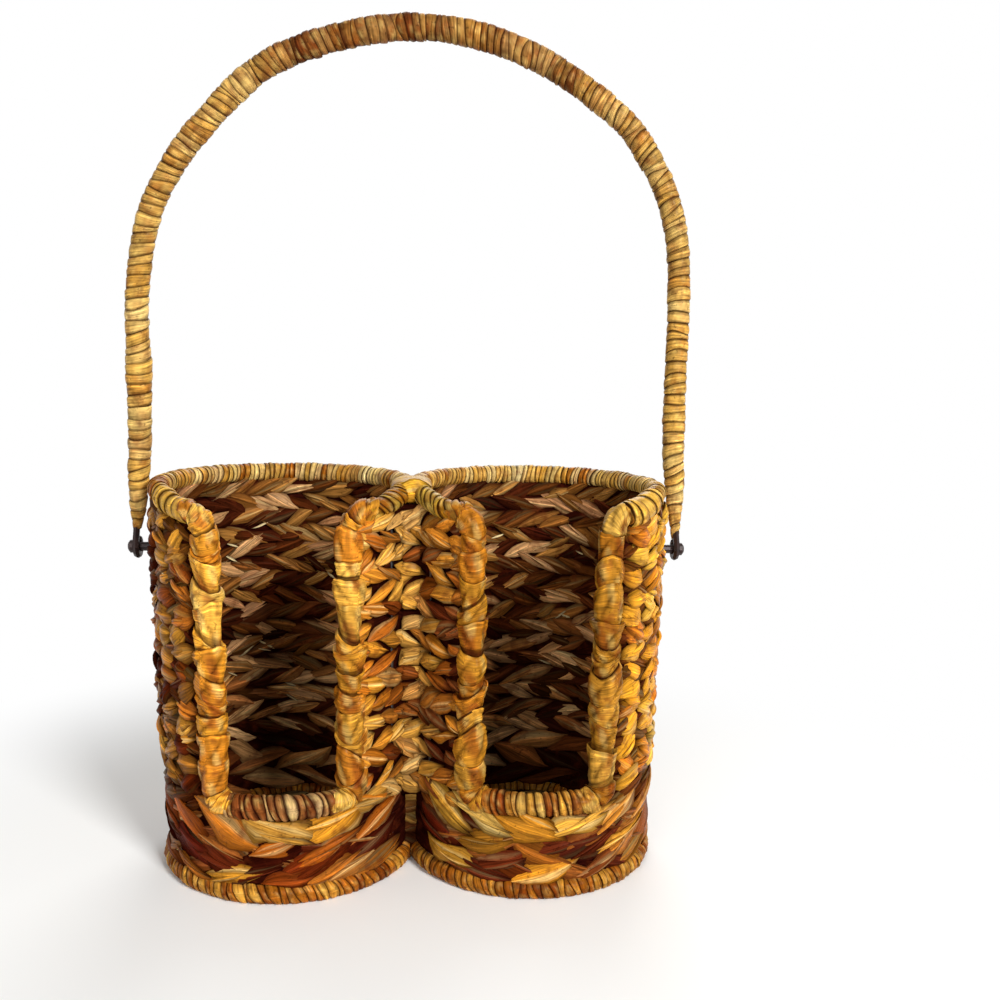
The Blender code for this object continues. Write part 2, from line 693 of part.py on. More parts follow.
def add_floor(cell, side, wire_material, leaf_material):
    """A round woven floor with a welded star of spokes running through it."""
    radius = floor_radius()
    bottom = -FLOOR_THICKNESS / 2
    groove = COURSE_RELIEF / 2
    profile = [(bottom, radius / (2 * FLOOR_COURSES)), (bottom, radius - groove), (0, radius)]
    for course in range(FLOOR_COURSES):
        outer = radius * (1 - course / FLOOR_COURSES)
        middle = radius * (1 - (course + 1 / 2) / FLOOR_COURSES)
        profile.append((-bottom - groove, outer - groove))
        profile.append((-bottom, middle))
    floor_points, floor_faces = turned_mesh(
        profile, (side * CELL_OFFSET, 0, BASE_RING_HEIGHT), (0, 0, 1), FLOOR_SIDES)
    floor = add_object(cell + "_woven_floor", floor_points, floor_faces, leaf_material)
    spokes = None
    bore = SPOKE_WIRE / 2 + WIRE_GAP
    for pair in range(SPOKE_PAIRS):
        roll = math.pi * (pair + 1 / 2) / (SPOKE_PAIRS * WIRE_SIDES)
        tool = add_cylinders("{}_spoke_bore_{}".format(cell, pair),
                             [spoke_ends(side, pair, radius + CUT_OVERRUN)], bore,
                             WIRE_SIDES, leaf_material, roll)
        boolean(floor, tool, "DIFFERENCE")
        name = cell + "_floor_spokes" if pair == 0 else "{}_spoke_{}".format(cell, pair)
        spoke = add_cylinders(name, [spoke_ends(side, pair, radius)], SPOKE_WIRE / 2,
                              WIRE_SIDES, wire_material, roll)
        if spokes is None:
            spokes = spoke
        else:
            boolean(spokes, spoke, "UNION")


def add_binding(name, height, half_height, material):
    """An oval wrap that ties the wires of both cells together where they meet."""
    spread = RING_RADIUS * (1 - math.cos(BINDING_HALF_LENGTH / RING_RADIUS))
    bore_width = FRAME_WIRE + FIT_GAP / 2 + spread + 2 * FIT_GAP
    bore_height = WIRE_RADIUS + 2 * FIT_GAP
    width = bore_width + BINDING_WALL
    sides = BINDING_SIDES
    turn = np.arange(sides) * 2 * math.pi / sides
    squareness = 0.7
    ring_x = np.sign(np.cos(turn)) * np.abs(np.cos(turn)) ** squareness
    ring_z = np.sign(np.sin(turn)) * np.abs(np.sin(turn)) ** squareness
    skin_shares = (-1.0, -0.72, -0.36, 0.0, 0.36, 0.72, 1.0)
    fullness_shares = (0.9, 1.0, 0.94, 1.0, 0.94, 1.0, 0.9)
    points = []
    for share, full in zip(skin_shares, fullness_shares):
        y = np.full(sides, share * BINDING_HALF_LENGTH)
        points.append(np.stack([width * full * ring_x, y, height + half_height * full * ring_z], 1))
    for share in (-1.0, 1.0):
        y = np.full(sides, share * BINDING_HALF_LENGTH)
        points.append(np.stack([bore_width * ring_x, y, height + bore_height * ring_z], 1))
    points = np.concatenate(points)
    points[:, 2] = np.maximum(points[:, 2], 0)
    count = len(skin_shares)
    faces = tube_faces(count, sides)
    faces += tube_faces(2, sides, count * sides)
    faces += zip_rings(0, sides, count * sides, sides)
    faces += zip_rings((count - 1) * sides, sides, (count + 1) * sides, sides)
    add_object(name, points, faces, material)


def add_pin(cell, side, material):
    """A pin welded to its cross wire inside the wall, with a rounded head outside the eye."""
    head = EYE_X + HANDLE_WIRE / 2 + EYE_PLAY
    shoulder_share = 0.6
    profile = [
        (CROSS_WIRE_X, PIN_WIRE / 2), (head, PIN_WIRE / 2), (head, PIN_HEAD_RADIUS),
        (head + PIN_HEAD_LENGTH * shoulder_share, PIN_HEAD_RADIUS),
        (head + PIN_HEAD_LENGTH, PIN_HEAD_RADIUS * shoulder_share),
    ]
    points, faces = turned_mesh(profile, (0, 0, PIVOT_HEIGHT), (side, 0, 0), PIN_SIDES)
    pin = add_object(cell + "_pivot_pin", points, faces, material)
    cross = add_cylinders(cell + "_cross_wire", [cross_wire_ends(side, POST_WIRE / 2 + FIT_GAP)],
                          POST_WIRE / 2, WIRE_SIDES, material)
    boolean(pin, cross, "UNION")


def smooth_curve(points, steps):
    """A curve through all the points, each span bending with its neighbours."""
    points = np.asarray(points, dtype=float)
    padded = np.concatenate([[2 * points[0] - points[1]], points, [2 * points[-1] - points[-2]]])
    share = (np.arange(steps) / steps)[:, None]
    spans = []
    for index in range(1, len(padded) - 2):
        before, start, end, after = padded[index - 1:index + 3]
        bend = (end - before) * share
        bend = bend + (2 * before - 5 * start + 4 * end - after) * share ** 2
        bend = bend + (3 * start - before - 3 * end + after) * share ** 3
        spans.append(start + bend / 2)
    return np.concatenate(spans + [points[-1:]])


def handle_line():
    """The handle's arch and legs, from just above the left eye to just above the right."""
    shares = np.array(HANDLE_OUTLINE_SHARES)
    outline = np.zeros((len(shares), 3))
    outline[:, 0] = shares[:, 0] * HANDLE_HALF_SPAN
    outline[:, 2] = PIVOT_HEIGHT + shares[:, 1] * HANDLE_RISE
    return outline


def eye_line(side):
    """From the eye's tip round the pin and up its neck, towards the leg."""
    turn = np.linspace(EYE_END, -math.pi, EYE_STEPS + 1)
    y = EYE_RADIUS * np.cos(turn)
    z = EYE_RADIUS * np.sin(turn)
    neck = np.array(NECK_SHARES[::-1]) * EYE_RADIUS
    y = np.concatenate([y, neck[:, 0]])
    z = np.concatenate([z, neck[:, 1]])
    return np.stack([np.full(len(y), side * EYE_X), y, PIVOT_HEIGHT + z], axis=1)


def carried_normals(points, first):
    """Normals carried along a path without twisting about it."""
    tangents = tangents_of(points, False)
    normals = [np.array(first, dtype=float)]
    for tangent in tangents[1:]:
        normal = normals[-1] - np.dot(normals[-1], tangent) * tangent
        normals.append(normal / np.linalg.norm(normal))
    return np.array(normals)


def add_handle(wire_material, wrap_material):
    """A bent wire with an eye round each pin, and the leaf wrapped along it."""
    left_eye = eye_line(-1)
    right_eye = eye_line(1)[::-1]
    corners = np.concatenate([left_eye[-1:], handle_line(), right_eye[:1]])
    whole = smooth_curve(corners, FINE_STEPS)
    arch = resample(whole, np.linspace(0, 1, ARCH_STEPS + 1))
    line = np.concatenate([left_eye[:-1], arch, right_eye[1:]])
    middle = len(left_eye) - 1 + ARCH_STEPS // 2
    sideways = (0, 1, 0)
    right_normals = carried_normals(line[middle:], sideways)
    left_normals = carried_normals(line[middle::-1], sideways)[::-1]
    normals = np.concatenate([left_normals[:-1], right_normals])
    wire = add_wire("handle_wire", line, normals, HANDLE_WIRE / 2, wire_material)

    bore = HANDLE_WIRE / 2 + WIRE_GAP
    shares, radii = ridged(HANDLE_TURNS, HANDLE_WRAP_RADIUS)
    skin_path = trim_ends(whole, FIT_GAP)
    rise = (resample(skin_path, shares)[:, 2] - PIVOT_HEIGHT) / HANDLE_RISE
    taper = np.array(HANDLE_TAPER_SHARES)
    radii = radii * np.interp(rise, taper[:, 0], taper[:, 1])
    bore_normals = np.tile(sideways, (len(arch), 1)).astype(float)
    skin_normals = np.tile(sideways, (len(skin_path), 1)).astype(float)
    points, faces = sleeve_mesh(
        trim_ends(arch, FIT_GAP), bore_normals, bore, skin_path, skin_normals, shares, radii)
    wrap = add_object("handle_wrap", points, faces, wrap_material)

    pivot = bpy.data.objects.new("handle_pivot", None)
    pivot.location = (0, 0, PIVOT_HEIGHT)
    bpy.context.scene.collection.objects.link(pivot)
    bpy.context.view_layer.update()
    for piece in (wire, wrap):
        piece.parent = pivot
        piece.matrix_parent_inverse = pivot.matrix_world.inverted()


def build():
    clear_scene()
    steel = make_material("grey_steel_wire", (0.20, 0.21, 0.22), 0.45, 0.9)
    dark_steel = make_material("dark_steel_wire", (0.035, 0.022, 0.016), 0.5, 0.7)
    pale_leaf = make_material("honey_leaf_wrap", (0.55, 0.27, 0.05), 0.42)
    brown_leaf = make_material("brown_leaf_wrap", (0.36, 0.19, 0.055), 0.45)
    woven_leaf = make_material("woven_leaf", (0.40, 0.19, 0.045), 0.45)
    floor_leaf = make_material("floor_leaf", (0.15, 0.09, 0.03), 0.55)
    for cell, side in SIDES.items():
        post_bores = add_base(cell, side, steel, brown_leaf)
        add_hoop(cell + "_opening_hoop", side, steel)
        add_hoop_wraps(cell, side, pale_leaf)
        add_wall(cell, side, post_bores, woven_leaf)
        add_floor(cell, side, steel, floor_leaf)
        add_pin(cell, side, dark_steel)
    add_binding("rim_binding", RIM_HEIGHT, RIM_WRAP_RADIUS, pale_leaf)
    add_binding("base_binding", BASE_RING_HEIGHT, BASE_WRAP_RADIUS, brown_leaf)
    add_handle(dark_steel, brown_leaf)


build()
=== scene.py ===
import bpy
import numpy as np
from mathutils import Matrix, Vector


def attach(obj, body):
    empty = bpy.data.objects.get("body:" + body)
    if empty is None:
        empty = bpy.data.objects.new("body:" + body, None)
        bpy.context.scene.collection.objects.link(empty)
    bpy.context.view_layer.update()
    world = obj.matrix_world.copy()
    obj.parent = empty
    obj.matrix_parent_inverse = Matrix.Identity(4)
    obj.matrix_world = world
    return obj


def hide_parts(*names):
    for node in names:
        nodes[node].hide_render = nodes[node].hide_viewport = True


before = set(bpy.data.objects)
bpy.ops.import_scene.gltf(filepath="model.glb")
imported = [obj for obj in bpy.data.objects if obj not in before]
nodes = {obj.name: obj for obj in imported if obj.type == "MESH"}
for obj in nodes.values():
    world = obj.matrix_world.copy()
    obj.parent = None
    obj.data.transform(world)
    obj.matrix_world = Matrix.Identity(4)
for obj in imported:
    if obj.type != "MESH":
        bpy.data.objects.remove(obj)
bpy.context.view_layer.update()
print("frame loaded:", len(nodes), "solids")

mm = 0.001
sides = {"left": -1, "right": 1}

# The wire frame that everything is wound on, as the solids have it; angles in degrees
wire = {
    "ringRadius": 54 * mm,
    "cellOffset": 55.75 * mm,
    "baseHeight": 3.89 * mm,
    "sillHeight": 43 * mm,
    "rimHeight": 172 * mm,
    "rimDip": 5 * mm,
    "dipStart": 75.0,          # from the opening's middle
    "openingHalf": 32.0,
    "openingTurn": 2.2,        # towards the other cell
    "topBend": 9 * mm,
    "sillBend": 7 * mm,
    "junctionHalf": 7.64,      # left bare to each side of where the cells meet
    "pathStep": 0.25 * mm,
}


# Places on a cell

def together(*parts):
    # arrays spread to one shape and put side by side
    return np.stack(np.broadcast_arrays(*parts), axis=-1)


def onCell(side, angle, height, radius):
    # a round wall: x = side (offset - radius sin angle), y = -radius cos angle
    x = side * (wire["cellOffset"] - radius * np.sin(angle))
    return together(x, -radius * np.cos(angle), height)


def outwardOf(side, angle):
    # the unit direction away from the cell's axis
    return together(-side * np.sin(angle), -np.cos(angle), 0.0)


def smoothStep(value, start=0.0, width=1.0):
    # a smooth rise from 0 at the start to 1 a width further on: 3 v^2 - 2 v^3
    value = np.clip((value - start) / width, 0, 1)
    return value * value * (3 - 2 * value)


def bell(value, middle, width):
    # 1 at the middle, and less to both sides: exp(-v^2)
    return np.exp(-((value - middle) / width) ** 2)


def fromOpening(angle):
    # degrees from the opening's middle, whichever way round is shorter
    turned = np.degrees(angle) - wire["openingTurn"]
    return np.abs((turned + 180) % 360 - 180)


def rimHeightAt(angle):
    # level round the back, then a smooth fall of rimDip towards the opening
    dipEnd = wire["openingHalf"] + np.degrees(wire["topBend"] / wire["ringRadius"])
    share = (wire["dipStart"] - fromOpening(angle)) / (wire["dipStart"] - dipEnd)
    return wire["rimHeight"] - wire["rimDip"] * smoothStep(share)


def jambAngle(which):
    # a jamb's angle, and which way the rim runs on from it
    turn = {"inner": 1, "outer": -1}[which]
    return np.radians(wire["openingTurn"] + turn * wire["openingHalf"]), turn


def hoopRun(name):
    # angles and heights along one run of an opening hoop; bends are quarter circles
    radius = wire["ringRadius"]
    topAngle = wire["topBend"] / radius
    sillAngle = wire["sillBend"] / radius
    inner, outer = jambAngle("inner")[0], jambAngle("outer")[0] + 2 * np.pi
    half = np.radians(wire["junctionHalf"])
    ends = {
        "rimBack": (np.pi / 2 + half, outer - topAngle, 240),
        "rimFront": (np.pi / 2 - half, inner + topAngle, 240),
        "base": (np.pi / 2 + half, 5 * np.pi / 2 - half, 480),
        "sill": (outer - 2 * np.pi + sillAngle, inner - sillAngle, 240),
    }
    if name in ends:
        angles = np.linspace(*ends[name])
        level = {"base": wire["baseHeight"], "sill": wire["sillHeight"]}.get(name)
        return angles, rimHeightAt(angles) if level is None else np.full(len(angles), level)
    angle, turn = jambAngle(name)
    level = float(rimHeightAt(angle + turn * topAngle))
    quarter = np.linspace(0, np.pi / 2, 24)
    topAngles = angle + turn * topAngle * (1 - np.sin(quarter))
    topHeights = level - wire["topBend"] * (1 - np.cos(quarter))
    footAngles = angle - turn * sillAngle * (1 - np.cos(quarter))
    footHeights = wire["sillHeight"] + wire["sillBend"] * (1 - np.sin(quarter))
    straight = np.linspace(topHeights[-1], footHeights[0], 100)[1:-1]
    angles = np.concatenate([topAngles, np.full(len(straight), angle), footAngles])
    return angles, np.concatenate([topHeights, straight, footHeights])


def columnsAt(places, along, values):
    # every column of the values, looked up at the places along
    return np.stack([np.interp(places, along, column) for column in values.T], axis=-1)


def evenPath(points, normals):
    # the same path with points an even step apart, and its tangents and normals
    gaps = np.linalg.norm(np.diff(points, axis=0), axis=1)
    along = np.concatenate([[0], np.cumsum(gaps)])
    places = np.linspace(0, along[-1], max(8, int(along[-1] / wire["pathStep"])))
    even = columnsAt(places, along, points)
    normal = columnsAt(places, along, np.broadcast_to(normals, points.shape))
    tangent = np.gradient(even, axis=0)
    tangent /= np.linalg.norm(tangent, axis=1)[:, None]
    normal -= (normal * tangent).sum(axis=1)[:, None] * tangent
    normal /= np.linalg.norm(normal, axis=1)[:, None]
    return {"along": places, "points": even, "tangent": tangent, "normal": normal,
            "across": np.cross(tangent, normal), "length": places[-1]}


def cellPath(side, name):
    angles, heights = hoopRun(name)
    return evenPath(onCell(side, angles, heights, wire["ringRadius"]), outwardOf(side, angles))


def lookUp(path, key, distance):
    # the path's value at any distance along it, run on straight past both ends
    values = columnsAt(distance, path["along"], path[key])
    if key == "points":
        before = np.minimum(distance, 0)[..., None] * path["tangent"][0]
        after = np.maximum(distance - path["length"], 0)[..., None] * path["tangent"][-1]
        values = values + before + after
    return values


# Colours and meshes

def linear(hexColour):
    # sRGB hex to linear light
    parts = np.array([int(hexColour[k:k + 2], 16) for k in (1, 3, 5)]) / 255
    return np.where(parts <= 0.04045, parts / 12.92, ((parts + 0.055) / 1.055) ** 2.4)


def palette(text):
    # "hex hex ..." to rows of linear colour
    return np.array([linear(part) for part in text.split()])


# near black: the colour of painted shade
paintedShadeColour = linear("#2A0A06")


def paintShade(tint, shade):
    # painted shade: a leaf's colour goes to near black where it is tucked in, in shade; the fourth
    # value is its gloss, less where it is tucked in or dark
    shade = np.asarray(shade)[..., None]
    mixed = paintedShadeColour + (tint - paintedShadeColour) * shade
    gloss = shade * np.clip(2.5 * mixed.max(axis=-1, keepdims=True) - 0.1, 0, 1)
    return np.concatenate([mixed, gloss], axis=-1)


def pick(rng, text, shape):
    # one of a palette's colours for each place, a little lighter or darker
    colours = palette(text)
    return colours[rng.integers(0, len(colours), shape)] * rng.uniform(0.8, 1.18, shape)[..., None]


def allPairs(first, second):
    # every first value with every second one, as two flat arrays
    return (part.ravel() for part in np.meshgrid(first, second, indexing="ij"))


def turnabout(row):
    # 1 in even rows and -1 in odd ones
    return 1 - 2 * (row % 2)


def withEnds(values, axis=0):
    # the first and the last once more behind the others, for the two poles
    return np.concatenate([values, np.take(values, [0, -1], axis)], axis)


def gridFaces(rows, columns, closedRows=False):
    # quads of a grid of corners numbered row by row, each row a ring
    row = np.arange(rows if closedRows else rows - 1)[:, None]
    column = np.arange(columns)[None, :]
    nextRow, nextColumn = (row + 1) % rows, (column + 1) % columns
    return np.stack([row * columns + column, row * columns + nextColumn,
                     nextRow * columns + nextColumn, nextRow * columns + column],
                    axis=-1).reshape(-1, 4)


def poleFaces(rows, columns):
    # triangles that close both ends of such a grid on the two corners numbered after it
    column, last = np.arange(columns), (rows - 1) * columns
    nextColumn, pole = (column + 1) % columns, np.full(columns, rows * columns)
    return np.concatenate([np.stack([nextColumn, column, pole], axis=-1),
                           np.stack([last + column, last + nextColumn, pole + 1], axis=-1)])


def makeMesh(name, part):
    # one mesh from a part's corner arrays; its faces are index arrays, three or four wide, and a
    # leaf's lengthwise edge between two creased corners is sharp
    points, faces = part["points"].reshape(-1, 3), part["faces"]
    corner = points[np.concatenate([f for f in faces if f.shape[1] == 4])]
    volume = (np.cross(corner[:, 0], corner[:, 1]) * corner[:, 2]).sum()
    volume += (np.cross(corner[:, 0], corner[:, 2]) * corner[:, 3]).sum()
    if volume < 0:                                   # turned inside out, so turn every face
        faces = [f[:, ::-1] for f in faces]
    loops = np.concatenate([f.reshape(-1) for f in faces]).astype(np.int32)
    sizes = np.concatenate([np.full(len(f), f.shape[1]) for f in faces]).astype(np.int32)
    mesh = bpy.data.meshes.new(name)
    mesh.vertices.add(len(points))
    mesh.vertices.foreach_set("co", points.astype(np.float32).ravel())
    mesh.loops.add(len(loops))
    mesh.loops.foreach_set("vertex_index", loops)
    mesh.polygons.add(len(sizes))
    starts = np.concatenate([[0], np.cumsum(sizes)[:-1]]).astype(np.int32)
    mesh.polygons.foreach_set("loop_start", starts)
    mesh.polygons.foreach_set("loop_total", sizes)
    mesh.polygons.foreach_set("use_smooth", np.ones(len(sizes), bool))
    mesh.update(calc_edges=True)
    layer = mesh.uv_layers.new(name="leafUv")
    layer.data.foreach_set("uv", part["uv"].reshape(-1, 2)[loops].astype(np.float32).ravel())
    tint = mesh.color_attributes.new("leafColour", "FLOAT_COLOR", "POINT")
    rgba = np.clip(part["colours"].reshape(-1, 4), 0, 1).astype(np.float32)
    tint.data.foreach_set("color", rgba.ravel())
    if "creased" in part:
        ends = np.empty(2 * len(mesh.edges), np.int32)
        mesh.edges.foreach_get("vertices", ends)
        ends = ends.reshape(-1, 2)
        lengthwise = np.abs(ends[:, 0] - ends[:, 1]) == len(leafSection["v"])
        sharp = mesh.attributes.new("sharp_edge", "BOOLEAN", "EDGE")
        sharp.data.foreach_set("value", part["creased"].ravel()[ends].all(axis=1) & lengthwise)
    mesh.validate()
    return mesh


def makePiece(name, part, material, body, slot, *replaced):
    # an object with the part's mesh, on its body, in place of the CAD nodes named; the slot is not
    # used
    mesh = makeMesh(name, part)
    mesh.materials.append(leaf[material])
    piece = bpy.data.objects.new(name, mesh)
    bpy.context.scene.collection.objects.link(piece)
    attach(piece, body)
    if replaced:
        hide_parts(*replaced)
    print("made", name, len(mesh.polygons), "faces")


# Materials

def setInputs(tree, node, inputs):
    # each input gets a value or another node's output
    for key, value in inputs.items():
        if isinstance(value, bpy.types.NodeSocket):
            tree.links.new(value, node.inputs[key])
        else:
            node.inputs[key].default_value = value


def addNode(tree, kind, inputs, **settings):
    # one node with its settings and its links
    node = tree.nodes.new(kind)
    for key, value in settings.items():
        setattr(node, key, value)
    setInputs(tree, node, inputs)
    return node


def newMaterial(name):
    # a material with its tree and its Principled shader
    material = bpy.data.materials.new(name)
    material.use_nodes = True
    tree = material.node_tree
    return material, tree, tree.nodes["Principled BSDF"]


leafLooks = {
    # fibre: spacing across the leaf; real fibres are near 0.3 mm, drawn coarser so they show
    # the pale fibre lines in these looks are painted highlights
    "honeyLeafWound": {
        "fibre": 0.9 * mm, "streak": 12 * mm, "roughness": 0.3, "coat": 0.03, "fibreHighlights": 0.5,
        "stain": "#6E2F10", "stainAmount": 0.5, "stainSize": 5 * mm},
    "brownLeafWound": {
        "fibre": 0.9 * mm, "streak": 10 * mm, "roughness": 0.3, "coat": 0.025, "fibreHighlights": 0.35,
        "stain": "#4A2110", "stainAmount": 0.6, "stainSize": 6 * mm},
    "leafWoven": {
        "fibre": 1.0 * mm, "streak": 11 * mm, "roughness": 0.3, "coat": 0.025, "fibreHighlights": 0.45,
        "stain": "#56230E", "stainAmount": 0.55, "stainSize": 6 * mm},
    "floorLeafWoven": {
        "fibre": 1.1 * mm, "streak": 14 * mm, "roughness": 0.38, "coat": 0.02, "fibreHighlights": 0.3,
        "stain": "#2A140A", "stainAmount": 0.6, "stainSize": 8 * mm},
}


def makeLeaf(name, look):
    # dried water-plant leaf under amber lacquer: long fibres, brown stains, small dark specks,
    # pale fibre lines as painted highlights, and a soft gloss that fades where the leaf is tucked
    # in
    material, tree, shader = newMaterial(name)
    colour = addNode(tree, "ShaderNodeAttribute", {}, attribute_name="leafColour")
    uvMap = addNode(tree, "ShaderNodeUVMap", {}, uv_map="leafUv")
    place = addNode(tree, "ShaderNodeTexCoord", {})
    stretched = addNode(tree, "ShaderNodeMapping", {
        "Vector": uvMap.outputs["UV"], "Scale": (1 / look["streak"], 1 / look["fibre"], 1)})
    fibre = addNode(tree, "ShaderNodeTexNoise", {
        "Vector": stretched.outputs["Vector"], "Scale": 1.0, "Detail": 3.0, "Roughness": 0.6})
    fibreTone = addNode(tree, "ShaderNodeMapRange", {
        "Value": fibre.outputs["Fac"], "From Min": 0.3, "From Max": 0.7,
        "To Min": 0.42, "To Max": 1.36})
    toned = addNode(tree, "ShaderNodeVectorMath", {
        0: colour.outputs["Color"], "Scale": fibreTone.outputs["Result"]}, operation="SCALE")
    patches = addNode(tree, "ShaderNodeTexNoise", {
        "Vector": place.outputs["Object"], "Scale": 1 / look["stainSize"], "Detail": 4.0})
    patchTone = addNode(tree, "ShaderNodeMapRange", {
        "Value": patches.outputs["Fac"], "From Min": 0.52, "From Max": 0.72,
        "To Min": 0.0, "To Max": look["stainAmount"]}, interpolation_type="SMOOTHSTEP")
    stained = addNode(tree, "ShaderNodeMix", {
        "Factor": patchTone.outputs["Result"], "A": toned.outputs["Vector"],
        "B": (*linear(look["stain"]), 1)}, data_type="RGBA")
    specks = addNode(tree, "ShaderNodeTexNoise", {       # specks 1 to 2 mm apart
        "Vector": place.outputs["Object"], "Scale": 1 / (1.6 * mm), "Detail": 1.0})
    speckTone = addNode(tree, "ShaderNodeMapRange", {
        "Value": specks.outputs["Fac"], "From Min": 0.66, "From Max": 0.74,
        "To Min": 1.0, "To Max": 0.55})
    speckled = addNode(tree, "ShaderNodeVectorMath", {
        0: stained.outputs["Result"], "Scale": speckTone.outputs["Result"]}, operation="SCALE")
    # painted highlights: pale lines along the fibres, where the leaf is glossy
    fibreHighlight = addNode(tree, "ShaderNodeMapRange", {
        "Value": fibre.outputs["Fac"], "From Min": 0.62, "From Max": 0.7,
        "To Min": 0.0, "To Max": look["fibreHighlights"]})
    highlightShare = addNode(tree, "ShaderNodeMath", {
        0: fibreHighlight.outputs["Result"], 1: colour.outputs["Alpha"]}, operation="MULTIPLY")
    highlightTone = addNode(tree, "ShaderNodeMath", {
        0: highlightShare.outputs["Value"], 1: 1.6, 2: 1.0}, operation="MULTIPLY_ADD")
    highlighted = addNode(tree, "ShaderNodeVectorMath", {
        0: speckled.outputs["Vector"], "Scale": highlightTone.outputs["Value"]}, operation="SCALE")
    rough = addNode(tree, "ShaderNodeMapRange", {
        "Value": fibre.outputs["Fac"], "To Min": look["roughness"] - 0.1,
        "To Max": look["roughness"] + 0.14})
    relief = addNode(tree, "ShaderNodeBump", {
        "Height": fibre.outputs["Fac"], "Strength": 0.8, "Distance": 0.4 * mm})
    gloss = addNode(tree, "ShaderNodeMath", {
        0: colour.outputs["Alpha"], 1: 0.09}, operation="MULTIPLY")
    lacquer = addNode(tree, "ShaderNodeMath", {
        0: colour.outputs["Alpha"], 1: look["coat"]}, operation="MULTIPLY")
    setInputs(tree, shader, {
        "Base Color": highlighted.outputs["Vector"], "Roughness": rough.outputs["Result"],
        "Normal": relief.outputs["Normal"], "Specular IOR Level": gloss.outputs["Value"],
        "Coat Weight": lacquer.outputs["Value"], "Coat Roughness": 0.2, "IOR": 1.48,
        "Specular Tint": (1.0, 0.84, 0.62, 1)})      # amber lacquer warms what it reflects
    return material


wireLooks = {
    "drawnSteelWire": {
        "colour": "#6E7478", "rust": "#4A3020", "metallic": 0.85, "roughness": 0.42},
    "blackenedSteelWire": {
        "colour": "#2A1510", "rust": "#120706", "metallic": 0.35, "roughness": 0.4},
}


def makeWire(name, look):
    # drawn steel wire: a fine scratched grain and dull brown patches where lacquer sits on it;
    # real scratches are near 0.05 mm, drawn coarser so they show
    material, tree, shader = newMaterial(name)
    place = addNode(tree, "ShaderNodeTexCoord", {})
    patches = addNode(tree, "ShaderNodeTexNoise", {
        "Vector": place.outputs["Object"], "Scale": 1 / (4 * mm), "Detail": 4.0})
    tone = addNode(tree, "ShaderNodeMapRange", {
        "Value": patches.outputs["Fac"], "From Min": 0.42, "From Max": 0.66})
    mixed = addNode(tree, "ShaderNodeMix", {
        "Factor": tone.outputs["Result"], "A": (*linear(look["colour"]), 1),
        "B": (*linear(look["rust"]), 1)}, data_type="RGBA")
    scratch = addNode(tree, "ShaderNodeTexNoise", {
        "Vector": place.outputs["Object"], "Scale": 1 / (0.6 * mm), "Detail": 2.0})
    rough = addNode(tree, "ShaderNodeMapRange", {
        "Value": patches.outputs["Fac"], "To Min": look["roughness"] - 0.1,
        "To Max": look["roughness"] + 0.2})
    relief = addNode(tree, "ShaderNodeBump", {
        "Height": scratch.outputs["Fac"], "Strength": 0.3, "Distance": 0.1 * mm})
    setInputs(tree, shader, {
        "Base Color": mixed.outputs["Result"], "Roughness": rough.outputs["Result"],
        "Normal": relief.outputs["Normal"], "Metallic": look["metallic"]})
    return material


leaf = {name: makeLeaf(name, look) for name, look in leafLooks.items()}
metal = {name: makeWire(name, look) for name, look in wireLooks.items()}
for name, node in nodes.items():
    dark = "pin" in name or name == "handle_wire"
    finish = metal["blackenedSteelWire" if dark else "drawnSteelWire"]
    for materialSlot in node.material_slots:
        materialSlot.material = finish
print("materials made")


# Woven rows

leafSection = {
    # a leaf cut across, over its face from edge to edge and back beneath: places over its
    # height, and how far each stands out
    "v": (-1, -0.78, -0.52, -0.26, 0, 0.26, 0.52, 0.78, 1, 0.5, -0.5),
    "n": (0, 0.55, 0.78, 0.93, 1, 0.93, 0.78, 0.55, 0, -0.8, -0.8),
}
leafShape = {
    "stations": 9, "point": (1.25, 2.4),   # 1 draws a leaf as a diamond, 3 with blunt ends
    "ridges": (3, 6), "fold": 0.8,     # the corners it may be folded along, and how sharply
    "pleat": 0.28, "roll": 0.26, "bend": 0.1, "ragged": 0.07, "creased": 0.5,
    "skew": 0.42,                      # pulls one edge forward and the other back
    # the pale streaks and the paler ridge are painted highlights, the darker edges painted shade
    "streak": 0.42, "highlightShare": 0.14, "highlightStreak": "#E8D08C", "paintedRidgeHighlight": 0.8,
    "edgeShade": 0.7, "brightest": 0.8,
}

# Blunter and rounder beside the jambs, flatter and more angular below the sills
knobShape = dict(leafShape, point=(2.0, 3.4), skew=0.3, pleat=0.36, roll=0.32,
                 highlightStreak="#E8B85C", highlightShare=0.1)
bandShape = dict(leafShape, point=(1.0, 1.7), skew=0.75, pleat=0.14, roll=0.15, ragged=0.03)


